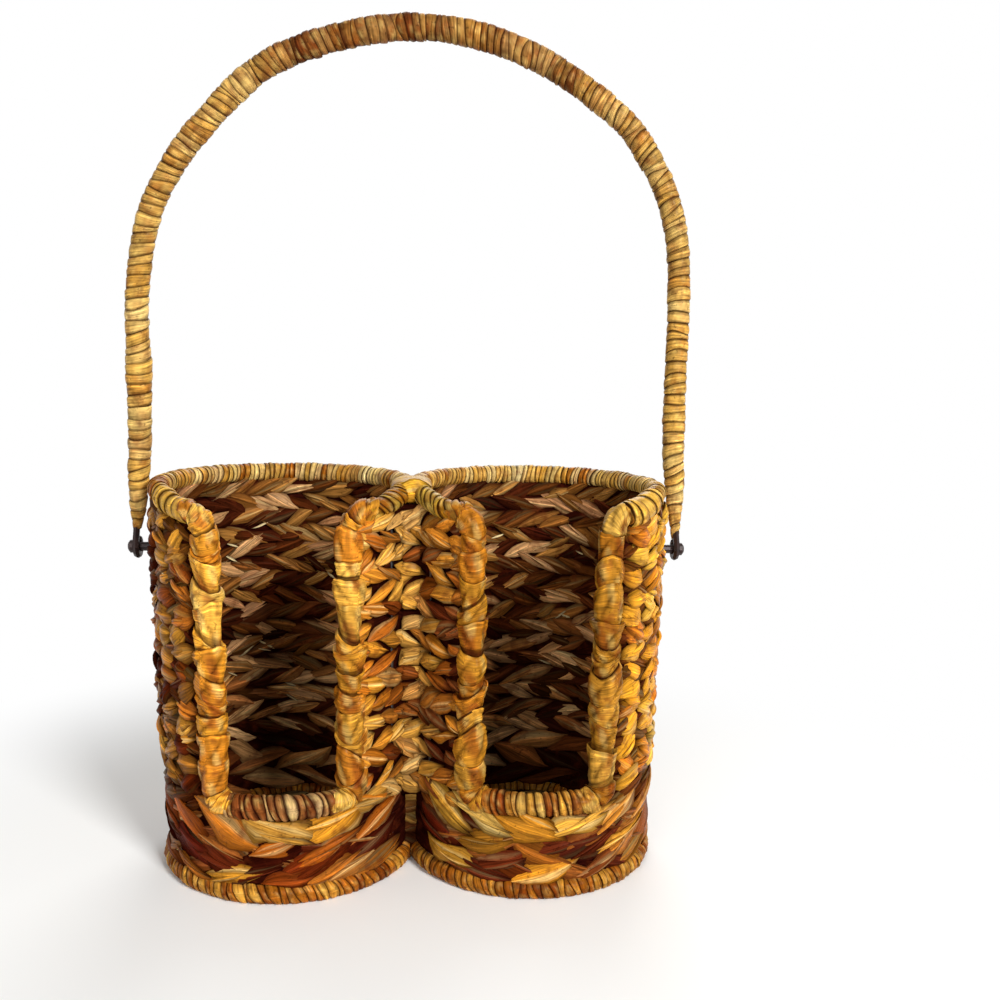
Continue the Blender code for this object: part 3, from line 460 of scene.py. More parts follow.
def layLeaves(surface, group, rng, look=leafShape):
    # leaves pointed at both ends; t from -1 to 1 along each, v over its height, n through it:
    # along = L t / 2, both turned by the slant with
    # up = H v (1 - |t + skew v (1 - t^2)|^point) (1 - 0.2 t) / 2 + bend H sin 2.5 t,
    # out = lift + roll up - dive t^2 + T n (1 - t^2)^0.5, dive unlike at the two ends;
    # n is part dome, part a roof with its ridge along a corner, with random pleats
    count = len(group["u"])
    t = np.linspace(-0.95, 0.95, look["stations"])[None, :, None]
    v, dome = np.array(leafSection["v"]), np.array(leafSection["n"])
    around, face = len(v), dome > 0
    size = {key: np.broadcast_to(value, (count,))[:, None, None]
            for key, value in group.items() if key != "tint"}
    ridgeCorner = rng.integers(*look["ridges"], (count, 1, 1))
    ridge, point = v[ridgeCorner], rng.uniform(*look["point"], (count, 1, 1))
    roof = np.where(v < ridge, (1 + v) / (1 + ridge), (1 - v) / (1 - ridge))
    n = np.where(face, dome + look["fold"] * (roof - dome), dome)
    n = n * (1 + rng.uniform(-1, 1, (count, 1, around)) * look["pleat"] * face)
    roll = rng.uniform(-1, 1, (count, 1, 1)) * look["roll"]
    bend = rng.uniform(-1, 1, (count, 1, 1)) * look["bend"]
    skew = rng.uniform(-1, 1, (count, 1, 1)) * look["skew"]
    torn = 1 + rng.uniform(-1, 1, (count, look["stations"], 1)) * look["ragged"]

    def at(t, v, n, torn):
        along = size["length"] / 2 * t + 0 * v
        pulled = np.clip(np.abs(t + skew * v * (1 - t ** 2)), 0, 1)
        up = size["height"] / 2 * (1 - pulled ** point) * (1 - 0.2 * t) * v * torn
        up = up + bend * size["height"] * np.sin(2.5 * t)
        dive = np.where(t < 0, size["startDive"], size["endDive"]) * t ** 2
        out = size["lift"] + roll * up - dive + size["thick"] * n * np.sqrt(1 - t ** 2)
        cosine, sine = np.cos(size["slant"]), np.sin(size["slant"])
        return surface(size["u"] + along * cosine - up * sine,
                       size["z"] + along * sine + up * cosine, out)

    body = look["stations"] * around
    points = at(t, v, n, torn).reshape(count, body, 3)
    ends = np.array([-1.0, 1.0])[None, :, None]
    tips = at(ends, np.zeros(1), np.zeros(1), 1).reshape(count, 2, 3)
    streak = 1 + look["streak"] * rng.uniform(-1, 1, (count, 1, around))
    # painted highlight along the ridge the leaf is folded on
    ridgeHighlight = look["paintedRidgeHighlight"] * bell(v, ridge, 0.2) * face
    streak = streak * (1 + ridgeHighlight) * (1.06 - 0.16 * t)
    tint = group["tint"][:, None, None, :] * streak[..., None]
    # painted highlights: pale streaks along a few of the leaf's corners
    highlight = 0.5 * (rng.random((count, 1, around)) < look["highlightShare"]) * (1 - t ** 2)
    highlightTint = linear(look["highlightStreak"]) * tint.max(axis=-1, keepdims=True) * 1.5
    tint = tint + (highlightTint - tint) * highlight[..., None]
    tint = tint * np.minimum(1, look["brightest"] / tint.max(axis=-1, keepdims=True))
    # painted shade: darker towards the tucked-in end, a little at both ends, and along both edges
    shade = 1 - 0.8 * smoothStep(t, 0.3, 0.7) - 0.2 * t ** 4
    shade = shade * (1 - look["edgeShade"] * np.abs(v) ** 4)
    colours = paintShade(tint, np.broadcast_to(shade, tint.shape[:-1])).reshape(count, body, 4)
    apart = np.arange(count)[:, None, None]
    uvAcross = size["height"] * (v * 0.5 + 0.06 * np.arange(around)) + 0.0173 * apart
    uv = together(size["length"] / 2 * t + 0.0311 * apart, uvAcross).reshape(count, body, 2)
    creased = (rng.random((count, 1, around)) < look["creased"]) | (np.abs(v) == 1)
    creased = creased | (np.arange(around) == ridgeCorner)
    creased = np.broadcast_to(creased, (count, look["stations"], around)).reshape(count, body)
    shift = apart * (body + 2)
    faces = [(gridFaces(look["stations"], around)[None] + shift).reshape(-1, 4),
             (poleFaces(look["stations"], around)[None] + shift).reshape(-1, 3)]
    return {"points": np.concatenate([points, tips], axis=1), "faces": faces,
            "colours": withEnds(colours, 1), "uv": withEnds(uv, 1),
            "creased": np.concatenate([creased, np.zeros((count, 2), bool)], axis=1)}


def joinGroups(groups):
    # several groups of leaves as one
    def column(group, key):
        value = np.asarray(group[key], float)
        return value if key == "tint" else np.broadcast_to(value, (len(group["u"]),))
    return {key: np.concatenate([column(group, key) for group in groups]) for key in groups[0]}


def someOf(group, chosen):
    # the chosen leaves of a group, each with its own value of everything
    return {key: value[chosen] for key, value in joinGroups([group]).items()}


def splitStrips(group, rng, share):
    # narrow strips split off some of the leaves, lying over them at nearly the same slant
    strip = someOf(group, rng.random(len(group["u"])) < share)
    count = len(strip["u"])
    strip["z"] = strip["z"] + rng.uniform(-0.26, 0.26, count) * strip["height"]
    strip["u"] = strip["u"] + rng.uniform(-0.12, 0.12, count) * strip["length"]
    strip["height"] = strip["height"] * rng.uniform(0.22, 0.42, count)
    strip["length"] = strip["length"] * rng.uniform(0.6, 1.0, count)
    strip["lift"] = strip["lift"] + 0.85 * strip["thick"]
    strip["thick"] = strip["thick"] * 0.5
    strip["slant"] = strip["slant"] + np.radians(rng.uniform(-10, 10, count))
    strip["tint"] = strip["tint"] * rng.uniform(0.65, 1.35, (count, 1))
    return strip


coreLook = {
    "v": (-1, -0.5, 0.5, 1, 0.5, -0.5), "n": (0, 1, 1, 0, -1, -1),      # its section, as a leaf's
    # near black, with more painted shade: the gaps between the leaves
    "half": 0.78, "shade": 0.4, "uvWidth": 9 * mm, "colours": "#2A0E06 #320F06 #220805",
}


def coreRows(place, rows, s, closed, thick, rng, uvLength):
    # a dark flat leaf along the middle of each row, near black as the gaps' painted shade: half
    # height 0.78 of the row's pitch, so that each overlaps the next
    look = coreLook
    v, n = np.array(look["v"]), np.array(look["n"])
    around, count = len(v), len(s)
    row, along = np.arange(rows)[:, None, None], s[None, :, None]
    thick = np.broadcast_to(thick, count)[None, :, None]
    points = place(row, along, look["half"] * v, thick * n)
    tone = pick(rng, look["colours"], (rows, count))[:, :, None, :]
    colours = paintShade(tone * np.ones((1, 1, around, 1)), look["shade"])
    uv = together(uvLength * along + 0.0371 * row,
                  look["uvWidth"] * (v * 0.5 + 0.06 * np.arange(around)))
    tubes = row * count * around
    faces = [(gridFaces(count, around, closedRows=closed)[None] + tubes).reshape(-1, 4)]
    if not closed:                                   # both ends: a quad and two triangles
        for cap in (np.array([[1, 2, 4, 5]]), np.array([[0, 1, 5], [2, 3, 4]])):
            last = cap[None] + (count - 1) * around + tubes
            faces.append(last.reshape(-1, cap.shape[1]))
            faces.append((cap[None, :, ::-1] + tubes).reshape(-1, cap.shape[1]))
    return {"points": points, "faces": faces, "colours": colours, "uv": uv,
            "creased": np.zeros(points.shape[:-1], bool)}


def joinParts(parts):
    # several parts' points, faces, colours, uv and creased corners as one
    faces, shift = [], 0
    for part in parts:
        faces += [f + shift for f in part["faces"]]
        shift += part["points"].size // 3
    joined = {key: np.concatenate([part[key].reshape(-1, wide) for part in parts])
              for key, wide in (("points", 3), ("colours", 4), ("uv", 2), ("creased", 1))}
    return dict(joined, faces=faces)


def keepSide(points, side, low=0.0):
    # what would cross the middle or the floor is pressed flat against it
    if side:
        points[..., 0] = side * np.maximum(side * points[..., 0], 0.15 * mm)
    points[..., 2] = np.maximum(points[..., 2], low)


def weavePiece(name, parts, material, slot, side, low, *replaced):
    # one piece of laid leaves and core rows, on its side of the middle and above the floor
    joined = joinParts(parts)
    keepSide(joined["points"], side, low)
    makePiece(name, joined, material, "basket", slot, *replaced)


def wallSurface(side, way):
    # the wall's outside (way 1) or inside (way -1): u is the distance round it from the front
    def surface(u, z, out):
        return onCell(side, u / wire["ringRadius"], z, wire["ringRadius"] + way * out)
    return surface


wallLook = {
    "rows": 16, "pitchBottom": 1.1, "pitchTop": 0.9,
    "bottom": 37.0 * mm, "jambInset": 3.6 * mm,
    "underRim": 3.6, "corner": 39.4, "cornerWidth": 9.5, # mm, and degrees from the opening
    "post": 20.0, "perPost": 2,                          # degrees between posts, leaves to each
    "firstPost": {1: 6, -1: 3}, "lastPost": 16,          # outside, the lacing covers the first
    "edgeInset": 0.57, "edgeLength": 15 * mm,            # the last leaf's middle, in posts
    "shake": 0.12, "above": 0.14, "below": -0.06,        # shares of a row's height
    # the wall's leaves under the knobs are darkened as painted shade
    "knobsFrom": 13.4, "shadeUnderKnobs": 0.82,                 # the post where the knobs begin
    "coreThick": 0.9, "coreOverPost": 0.95,              # mm, and mm more over each post
    "postsShowBelow": 64, "postsHidden": 6,              # degrees: grey posts show in the valley
    "length": (21 * mm, 29 * mm), "height": (5.4 * mm, 8.2 * mm), "slant": (12, 27),
    "thick": 1.2 * mm, "lift": 2.3 * mm, "strips": 0.4,
    "startDive": (-0.4, 1.0), "endDive": (1.2, 2.4),     # mm that each end goes in
    "outer": "#B4721D #A85F18 #C48325 #8E4E12 #B87827 #BC6E1A #7A370F #A87625 #D09230",
    "golden": "#D89225 #CC831D #B86718 #E0A339 #B46E1A #C8741A #8E4211 #DC9C37",
    # inside: partly the inner faces' own duller colours, partly painted shade, darker still low
    # down
    "inner": "#74481C #441E09 #8A5E2A #2A0C05 #9B6D46 #552F10 #351407 #7F5223 #4B270C "
             "#A97E51 #653E17",
    "innerShaded": "#824D24 #38160B #A7703A #250B04 #B58451 #562C12 #DAA972",
    "paintedMiddleLight": 0.45,                # how much paler the inside is halfway up
}
knobLook = {
    # degrees round from the front where the thick folded leaves beside the outer jamb lie
    "rows": 14, "places": (279, 291, 303, 316), "low": 45 * mm, "high": 166 * mm,
    "length": (14 * mm, 20 * mm), "height": (9.5 * mm, 13 * mm), "slant": (6, 38),
    "thick": (1.7 * mm, 2.4 * mm), "lift": (2.4 * mm, 3.2 * mm), "strips": 0.5,
    "startDive": (0.6, 1.8), "endDive": (1.6, 3.0),
    # left: partly the leaves' own darker colour, partly painted shade on the side away from the
    # lamp
    "left": "#8A561A #5A2406 #A46A1E #481804 #B07824 #6A3008 #926020 #3A1204 #9A5616",
    "right": "#DC9825 #D28B1F #C27618 #E1A736 #CA851F #D89627 #B06414 #E3B144 #D49124",
}
strayLook = {
    "count": 44, "degrees": {1: (112, 318), -1: (100, 312)}, "low": 48 * mm, "high": 158 * mm,
    "length": (13, 20), "height": (4, 6.4), "thick": 0.9, "slant": (10, 36),
    "sliverLength": (6, 11), "sliverHeight": (0.8, 1.5), "sliverThick": 0.35,
    "slivers": 0.35, "sliverColour": "#D8C290",
}


def wallTopAt(angle):
    # under the rim's winding, and a little lower beside the opening's corners
    look = wallLook
    near = np.clip(1 - (fromOpening(angle) - look["corner"]) / look["cornerWidth"], 0, 1)
    return rimHeightAt(angle) - (look["underRim"] + near) * mm


def wallHeight(angle, share):
    # rows a little taller at the bottom than at the top: share + ease share (1 - share) / 2
    ease = wallLook["pitchBottom"] - wallLook["pitchTop"]
    share = share + ease * share * (1 - share) / 2
    return wallLook["bottom"] + (wallTopAt(angle) - wallLook["bottom"]) * share


def wallTints(side, way, row, place, angle, rng):
    # painted shade outside under the knobs, and inside low down and where the light reaches least
    look, count, level = wallLook, len(row), row / wallLook["rows"]
    if way > 0:
        tint = pick(rng, look["outer"], count)
        # painted shade: the wall's leaves darken under the knobs
        dim = 1 - look["shadeUnderKnobs"] * smoothStep(place, look["knobsFrom"], 0.8)
        return paintedShadeColour + (tint - paintedShadeColour) * dim[:, None]
    light, dark = pick(rng, look["inner"], count), pick(rng, look["innerShaded"], count)
    rightward = -side * np.sin(angle)                # towards the lamp, so in shade inside
    low = (0.5 - level) / 0.5 + 0.3 * smoothStep(rightward, 0.1, 0.6)
    shade = smoothStep(low * (row < 0.82 * look["rows"]))
    tint = light + (dark - light) * shade[:, None]
    # painted light: paler halfway up the inside
    return tint * (1 + look["paintedMiddleLight"] * bell(level, 0.48, 0.22))[:, None]


def wallLeaves(side, way, rng):
    # one leaf on each post in each row, longer than the posts' spacing so that it overlaps the
    # next, all of a row slanting one way and the next row's the other
    look = wallLook
    post = np.radians(look["post"])
    places = np.arange(look["firstPost"][way], look["lastPost"], 1 / look["perPost"])
    outerEdge = (jambAngle("outer")[0] + 2 * np.pi) / post - look["edgeInset"]
    innerEdge = jambAngle("inner")[0] / post + look["edgeInset"]
    edges = [outerEdge] if way > 0 else [innerEdge, outerEdge]
    row, place = allPairs(np.arange(look["rows"]), np.concatenate([places, edges]))
    count = len(row)
    between = np.abs(place - np.round(place)) > 0.4      # the second leaf lies a little higher
    angle = post * (place + rng.uniform(-0.08, 0.08, count))
    shake = rng.uniform(-look["shake"], look["shake"], count)
    shake = shake + np.where(between, look["above"], look["below"])
    height = wallHeight(angle, (row + 0.5 + shake) / look["rows"])
    tint = wallTints(side, way, row, place, angle, rng)
    length = rng.uniform(*look["length"], count)
    return {
        "u": angle * wire["ringRadius"], "z": height,
        "length": np.where(np.isin(place, edges), look["edgeLength"], length),
        "height": rng.uniform(*look["height"], count), "thick": look["thick"],
        "lift": look["lift"] + rng.uniform(-0.2, 0.4, count) * mm,
        "slant": np.radians(rng.uniform(*look["slant"], count)) * turnabout(row) * -side,
        "startDive": rng.uniform(*look["startDive"], count) * mm,
        "endDive": rng.uniform(*look["endDive"], count) * mm, "tint": tint,
    }


def knobLeaves(cell, rng):
    # thick folded leaves crowded beside the outer jamb, slanting both ways
    look = knobLook
    row, place = allPairs(np.arange(look["rows"]), look["places"])
    count = len(row)
    share = row + 0.5 + 0.5 * (place % 2) + rng.uniform(-0.22, 0.22, count)
    share = share / (look["rows"] + 0.5)
    return {
        "u": np.radians(place + rng.uniform(-2.5, 2.5, count)) * wire["ringRadius"],
        "z": look["low"] + (look["high"] - look["low"]) * share,
        "length": rng.uniform(*look["length"], count),
        "height": rng.uniform(*look["height"], count),
        "thick": rng.uniform(*look["thick"], count), "lift": rng.uniform(*look["lift"], count),
        "slant": np.radians(rng.uniform(*look["slant"], count)) * -turnabout(row)
        * rng.choice([-1, 1], count, p=[0.2, 0.8]),
        "startDive": rng.uniform(*look["startDive"], count) * mm,
        "endDive": rng.uniform(*look["endDive"], count) * mm, "tint": pick(rng, look[cell], count),
    }


def strayLeaves(way, rng):
    # leaf ends that lie over the weave, and a few thin frayed slivers that stand off it
    look, count = strayLook, strayLook["count"]

    def either(key, sliverKey):
        return np.where(sliver, rng.uniform(*look[sliverKey], count),
                        rng.uniform(*look[key], count)) * mm

    z = rng.uniform(look["low"], look["high"], count)
    sliver = rng.random(count) < look["slivers"]
    tint = pick(rng, wallLook["golden" if way > 0 else "inner"], count)
    tint = np.where(sliver[:, None], linear(look["sliverColour"]), tint)
    # painted shade: darker low down inside
    if way < 0:                                      # darker low down inside
        tint = tint * np.interp(z, [40 * mm, 120 * mm], [0.35, 1.0])[:, None]
    return {
        "u": rng.uniform(*np.radians(look["degrees"][way]), count) * wire["ringRadius"], "z": z,
        "length": either("length", "sliverLength"), "height": either("height", "sliverHeight"),
        "thick": np.where(sliver, look["sliverThick"], look["thick"]) * mm,
        "lift": wallLook["lift"] + 1.2 * mm,
        "slant": np.radians(rng.uniform(*look["slant"], count)) * rng.choice([-1, 1], count),
        "startDive": 0.4 * mm, "endDive": 2.0 * mm, "tint": tint,
    }


bandLook = {
    "rows": 3, "low": 8.6 * mm, "high": 38.0 * mm,
    "degrees": {1: (122, 414, 25.0), -1: (0, 360, 25.0)},    # from, to and step round the cell
    "length": (34 * mm, 42 * mm), "height": (11 * mm, 15 * mm), "slant": (12, 26),
    "thick": 1.5 * mm, "lift": 2.3 * mm, "strips": 0.7,
    "startDive": (0.0, 1.0), "endDive": (1.4, 2.4),
    "colours": "#DC9C2E #C87A1C #B86016 #8A380E #5E1C0C #CC8220 #D8A644 #A45414",
    # under: darker colours, painted shade, for the leaves that lie under the listed ones
    "under": "#683412 #7A4317 #542207 #85511F #471909", "frontTones": (0.62, 0.78),
}

# The broad leaves below each sill that the front shows, the lowest first: degrees to the right
# of the cell's front at both ends, mm above the floor at both ends, height in mm, and colour
bandFront = {
    "left": (
        (-86, -60, 27, 17, 12, "#360C05"), (-62, -26, 27, 15, 14, "#54180A"),
        (-40, -12, 25, 17, 12, "#63240D"), (-16, 14, 17, 27, 11, "#360E06"),
        (2, 34, 14, 24, 12, "#672508"), (30, 60, 17, 26, 12, "#451408"),
        (-80, -50, 12, 8.5, 7, "#803F11"), (-57, -30, 12, 8.8, 7, "#955315"),
        (-34, -4, 9, 16, 8, "#C28324"), (-6, 16, 8.8, 13, 6, "#79330A"),
        (10, 36, 9.5, 17, 6, "#B3651C"), (34, 64, 9, 15, 7, "#955515"),
        (-78, -50, 39, 27, 11, "#843A0F"), (-60, -33, 42, 26, 11, "#A75111"),
        (34, 64, 23, 39, 9, "#A15311"), (-39, -5, 42, 27, 12.5, "#B16415"),
        (8, 34, 17, 29, 9, "#AF5811"), (-12, 10, 23, 30, 8, "#B15B11"),
        (10, 39, 28, 40, 11.5, "#CD8720"), (-14, 18, 39, 29, 11.5, "#C48B34"),
        (31, 57, 40, 44, 7, "#BA8434"),
    ),
    "right": (
        (-66, -38, 31, 20, 12, "#5C1C0B"), (-32, -6, 14, 24, 11, "#682810"),
        (-12, 16, 26, 17, 10, "#8B4D13"), (4, 34, 19, 29, 12, "#491A0E"),
        (28, 58, 14, 30, 13, "#A5621C"), (52, 82, 14, 28, 13, "#874413"),
        (16, 44, 9, 17, 8, "#783B15"), (40, 70, 10, 17, 7, "#AC6B1E"),
        (66, 92, 10, 16, 7, "#975317"), (-40, -12, 12, 9, 7, "#5C210E"),
        (8, 36, 21, 32, 8, "#8B4B19"), (-38, -10, 23, 27, 9, "#976219"),
        (-13, 17, 8, 18, 8.5, "#DC8E21"), (-57, -26, 19, 11, 8.5, "#B47F27"),
        (50, 84, 27, 41, 10, "#AC671A"), (30, 62, 18, 30, 6, "#D4912E"),
        (26, 52, 28, 44, 10, "#C47B25"), (-60, -32, 45, 29, 9.5, "#BC882C"),
        (2, 33, 29, 38, 9.5, "#D89C38"), (-19, 10, 38, 27, 11, "#C88321"),
        (-40, -12, 44, 29, 8, "#D8A94F"),
    ),
}


def bandLeaves(side, way, rng):
    # wide leaves round the foot of the wall, row by row, lower and duller under the listed
    # ones; the valley's dark foot is left out
    look = bandLook
    row, angle = allPairs(np.arange(look["rows"]), np.arange(*look["degrees"][way]))
    count = len(row)
    angle = np.radians(angle + 8 * row + rng.uniform(-2, 2, count))
    pitch = (look["high"] - look["low"]) / look["rows"]
    # painted shade: inside, the shaded inside colours; outside, darker leaves under the listed ones
    tint = pick(rng, look["colours"] if way > 0 else wallLook["innerShaded"], count)
    front = (way > 0) & (angle > np.radians(270))
    tint = np.where(front[:, None], pick(rng, look["under"], count), tint)
    return {
        "u": np.where(front, angle - 2 * np.pi, angle) * wire["ringRadius"],
        "z": look["low"] + pitch * (row + 0.5 + rng.uniform(-0.06, 0.06, count)),
        "length": rng.uniform(*look["length"], count),
        "height": rng.uniform(*look["height"], count),
        "thick": look["thick"], "lift": np.where(front, look["lift"] - 0.9 * mm, look["lift"]),
        "slant": np.radians(rng.uniform(*look["slant"], count)) * turnabout(row),
        "startDive": rng.uniform(*look["startDive"], count) * mm,
        "endDive": rng.uniform(*look["endDive"], count) * mm, "tint": tint,
    }


def bandFrontLeaves(cell, side, rng):
    # the listed leaves, each half as high again and a fifth longer for its pointed ends
    look, rows, count = bandLook, bandFront[cell], len(bandFront[cell])
    start, stop, low, high, height = (np.array([row[k] for row in rows]) for k in range(5))
    u = np.radians(np.stack([start, stop])) * wire["ringRadius"] * -side
    z = np.stack([low, high]) * mm
    return {
        "u": u.mean(axis=0), "z": z.mean(axis=0),
        "length": np.hypot(u[1] - u[0], z[1] - z[0]) * 1.2, "height": height * 1.5 * mm,
        "thick": look["thick"], "lift": look["lift"] + np.linspace(-0.6, 0.7, count) * mm,
        "slant": np.arctan2(z[1] - z[0], u[1] - u[0]),
        "startDive": 1.2 * mm, "endDive": 0.9 * mm,
        "tint": palette(" ".join(row[5] for row in rows))
        * rng.uniform(*look["frontTones"], (count, 1)),
    }


def weaveWall(cell, side, rng):
    # dark core rows, then the leaves outside them and the lining inside
    look, radius = wallLook, wire["ringRadius"]
    inset, post = look["jambInset"] / radius, np.radians(look["post"])

    def place(row, s, share, out):
        return onCell(side, s, wallHeight(s, (row + 0.5 + share) / look["rows"]), radius + out)

    def placeBand(row, s, share, out):
        tall = bandLook["high"] - bandLook["low"]
        height = bandLook["low"] + tall * (row + 0.5 + share) / bandLook["rows"]
        return onCell(side, s, height, radius + out)

    s = np.linspace(jambAngle("inner")[0] + inset, jambAngle("outer")[0] + 2 * np.pi - inset, 100)
    away = np.abs(2 * (s / post - np.round(s / post)))
    hidden = smoothStep(np.degrees(s), look["postsShowBelow"], look["postsHidden"])
    overPost = look["coreOverPost"] * smoothStep((0.5 - away) / 0.3) * hidden
    thick = (look["coreThick"] + overPost) * mm
    cores = [coreRows(place, look["rows"], s, False, thick, rng, radius)]
    s = 2 * np.pi * np.arange(90) / 90
    cores.append(coreRows(placeBand, bandLook["rows"], s, True, 1.5 * mm, rng, radius))
    for way in (1, -1):
        surface = wallSurface(side, way)
        rows = [wallLeaves(side, way, rng)]
        rows.append(splitStrips(rows[0], rng, look["strips"]))
        rows.append(strayLeaves(way, rng))
        band = [bandLeaves(side, way, rng)]
        if way > 0:
            band.append(bandFrontLeaves(cell, side, rng))
            band.append(splitStrips(joinGroups(band), rng, bandLook["strips"]))
        parts = [layLeaves(surface, joinGroups(rows), rng),
                 layLeaves(surface, joinGroups(band), rng, bandShape)]
        if way > 0:
            knobs = knobLeaves(cell, rng)
            knobs = joinGroups([knobs, splitStrips(knobs, rng, knobLook["strips"])])
            parts.append(layLeaves(surface, knobs, rng, knobShape))
            weavePiece(cell + "_wall_weave", cores + parts, "leafWoven", "woven_leaf", side, 0.0,
                       cell + "_woven_wall")
        else:
            weavePiece(cell + "_wall_lining", parts, "leafWoven", "woven_leaf", side, 0.0)


lacing = {
    "depth": 22.0 * mm, "blend": 12, "reach": 34 * mm,
    "columns": {-1: (-3, 4), 1: (-1, 2)}, "furthest": 31 * mm, "strips": 0.5,
    "spacing": 10.8 * mm, "length": (17 * mm, 24 * mm), "height": (6.2 * mm, 9.6 * mm),
    "slant": (12, 30), "thick": 1.3 * mm, "lift": 2.4 * mm,
    "startDive": (-0.3, 1.0), "endDive": (1.2, 2.4),
    "gaps": ((12, 1), (9, -1), (7, -1)),     # rows and columns without a leaf, where a post shows
    "backing": 15 * mm, "backingThick": 0.8 * mm,
    "wallAngle": 60,                         # degrees: its rows are as high as the wall's there
    "shortFrom": 27 * mm, "short": 0.6,      # the outermost leaves are shorter
    "colours": "#AF792C #8D551B #BA873B #743B13 #A26A22 #5F2B0B #C89752 #874813 #C28B35 #B67E3D",
    "beside": 17 * mm, "besideLeft": "#D18B2A #BA6C1B #DA9D41 #A35817 #C67E26",
    "besideRight": "#965117 #AF6C1E #6E3A19 #BA7C2A #56240F #A25F1E",
}
valleyFoot = {
    "rows": 8, "low": 9 * mm, "high": 46 * mm, "depth": 14 * mm,
    "length": 18 * mm, "height": 9 * mm, "thick": 1.8 * mm, "dive": 0.3 * mm, "slant": (8, 26),
    "colours": "#5A3414 #7A4E20 #3A1A0A #8A642C #4A260E",
}


def valleySurface(way):
    # across a valley by distance from its middle, over the lacing and on round each cell's wall:
    # out = (depth^blend + wall^blend)^(1/blend), wall^2 = ringRadius^2 - (cellOffset - x)^2
    x = np.linspace(0, lacing["reach"], 300)
    wall = np.sqrt(np.maximum(wire["ringRadius"] ** 2 - (wire["cellOffset"] - x) ** 2, 0))
    blend = lacing["blend"]
    out = lacing["depth"] * (1 + (wall / lacing["depth"]) ** blend) ** (1 / blend)
    along = np.concatenate([[0], np.cumsum(np.hypot(np.diff(x), np.diff(out)))])
    slopeX, slopeOut = np.gradient(x, along), np.gradient(out, along)

    def surface(u, z, lift):
        away = np.abs(u)
        across = np.interp(away, along, x) - lift * np.interp(away, along, slopeOut)
        depth = np.interp(away, along, out) + lift * np.interp(away, along, slopeX)
        return together(np.sign(u) * across, way * depth, z)
    return surface


def laceLeaves(way, rng):
    # a leaf for each row and column, every other row shifted by half a column and slanting back
    look, rows = lacing, wallLook["rows"]
    row, column = allPairs(np.arange(rows), np.arange(*look["columns"][way]))
    column = column - 0.25 * turnabout(row)
    count = len(row)
    u = look["spacing"] * (column + rng.uniform(-0.1, 0.1, count))
    u = np.clip(u, -look["furthest"], look["furthest"])
    level = (row + 0.5 + rng.uniform(-0.12, 0.12, count)) / rows
    z = wallHeight(np.radians(look["wallAngle"]), level)
    tint = pick(rng, look["colours"], count)
    for beside, key in ((u < -look["beside"], "besideLeft"), (u > look["beside"], "besideRight")):
        tint = np.where(beside[:, None], pick(rng, look[key], count), tint)
    group = {
        "u": u, "z": z,
        "length": rng.uniform(*look["length"], count)
        * np.where(np.abs(u) > look["shortFrom"], look["short"], 1),
        "height": rng.uniform(*look["height"], count),
        "thick": look["thick"] * rng.uniform(0.9, 1.4, count),
        "lift": look["lift"] + rng.uniform(0, 0.5, count) * mm,
        "slant": np.radians(rng.uniform(*look["slant"], count)) * -turnabout(row),
        "startDive": rng.uniform(*look["startDive"], count) * mm,
        "endDive": rng.uniform(*look["endDive"], count) * mm,
        # painted shade: darker low in the valley
        "tint": tint * np.interp(z, [60 * mm, 120 * mm], [0.76, 0.92])[:, None],
    }
    gaps = [(row == gap[0]) & (np.round(column) == gap[1]) & (way < 0) for gap in look["gaps"]]
    return someOf(group, ~np.any(gaps, axis=0))


def footLeaves(rng):
    # dark leaves across the foot of the valley, one above the other
    look, count = valleyFoot, valleyFoot["rows"]
    return {
        "u": rng.uniform(-1, 1, count) * mm, "z": np.linspace(look["low"], look["high"], count),
        "length": look["length"], "height": look["height"], "thick": look["thick"], "lift": 0.0,
        "startDive": look["dive"], "endDive": look["dive"],
        "slant": np.radians(rng.uniform(*look["slant"], count)) * -turnabout(np.arange(count)),
        "tint": pick(rng, look["colours"], count),
    }


def laceValley(rng):
    # herringbone rows that run from jamb to jamb over both walls and the lacing between them
    look, rows, parts = lacing, wallLook["rows"], []
    for way in (-1, 1):
        valley = valleySurface(way)
        leaves = laceLeaves(way, rng)
        leaves = joinGroups([leaves, splitStrips(leaves, rng, look["strips"])])
        parts.append(layLeaves(valley, leaves, rng))

        def foot(u, z, lift):
            return together(u, way * (valleyFoot["depth"] + lift), z)

        parts.append(layLeaves(foot, footLeaves(rng), rng))

        def place(row, s, share, out):
            height = wallHeight(np.radians(look["wallAngle"]), (row + 0.5 + share) / rows)
            return valley(s, height, way * out)

        across = np.linspace(-look["backing"], look["backing"], 40)
        parts.append(coreRows(place, rows, across, False, look["backingThick"], rng, 1.0))
    weavePiece("valley_lacing", parts, "leafWoven", "woven_leaf", None, 0.0)


floorLook = {
    "rings": 6, "innerRadius": 5.5 * mm, "outerRadius": 49.5 * mm, "height": 3.89 * mm,
    "leafLength": 20 * mm, "overlap": 0.72, "thick": 0.9 * mm, "lift": 1.3 * mm, "slant": (8, 18),
    "coreThick": 1.3 * mm, "underside": 1.0 * mm, "knotRadius": 7.5 * mm, "knotHalf": 2.5 * mm,
    "top": "#5A4826 #6A5630 #46341C #7A643C #3A2814 #86724A",
    "under": "#8A6226 #9C7A34 #74441C #A06A24",
}


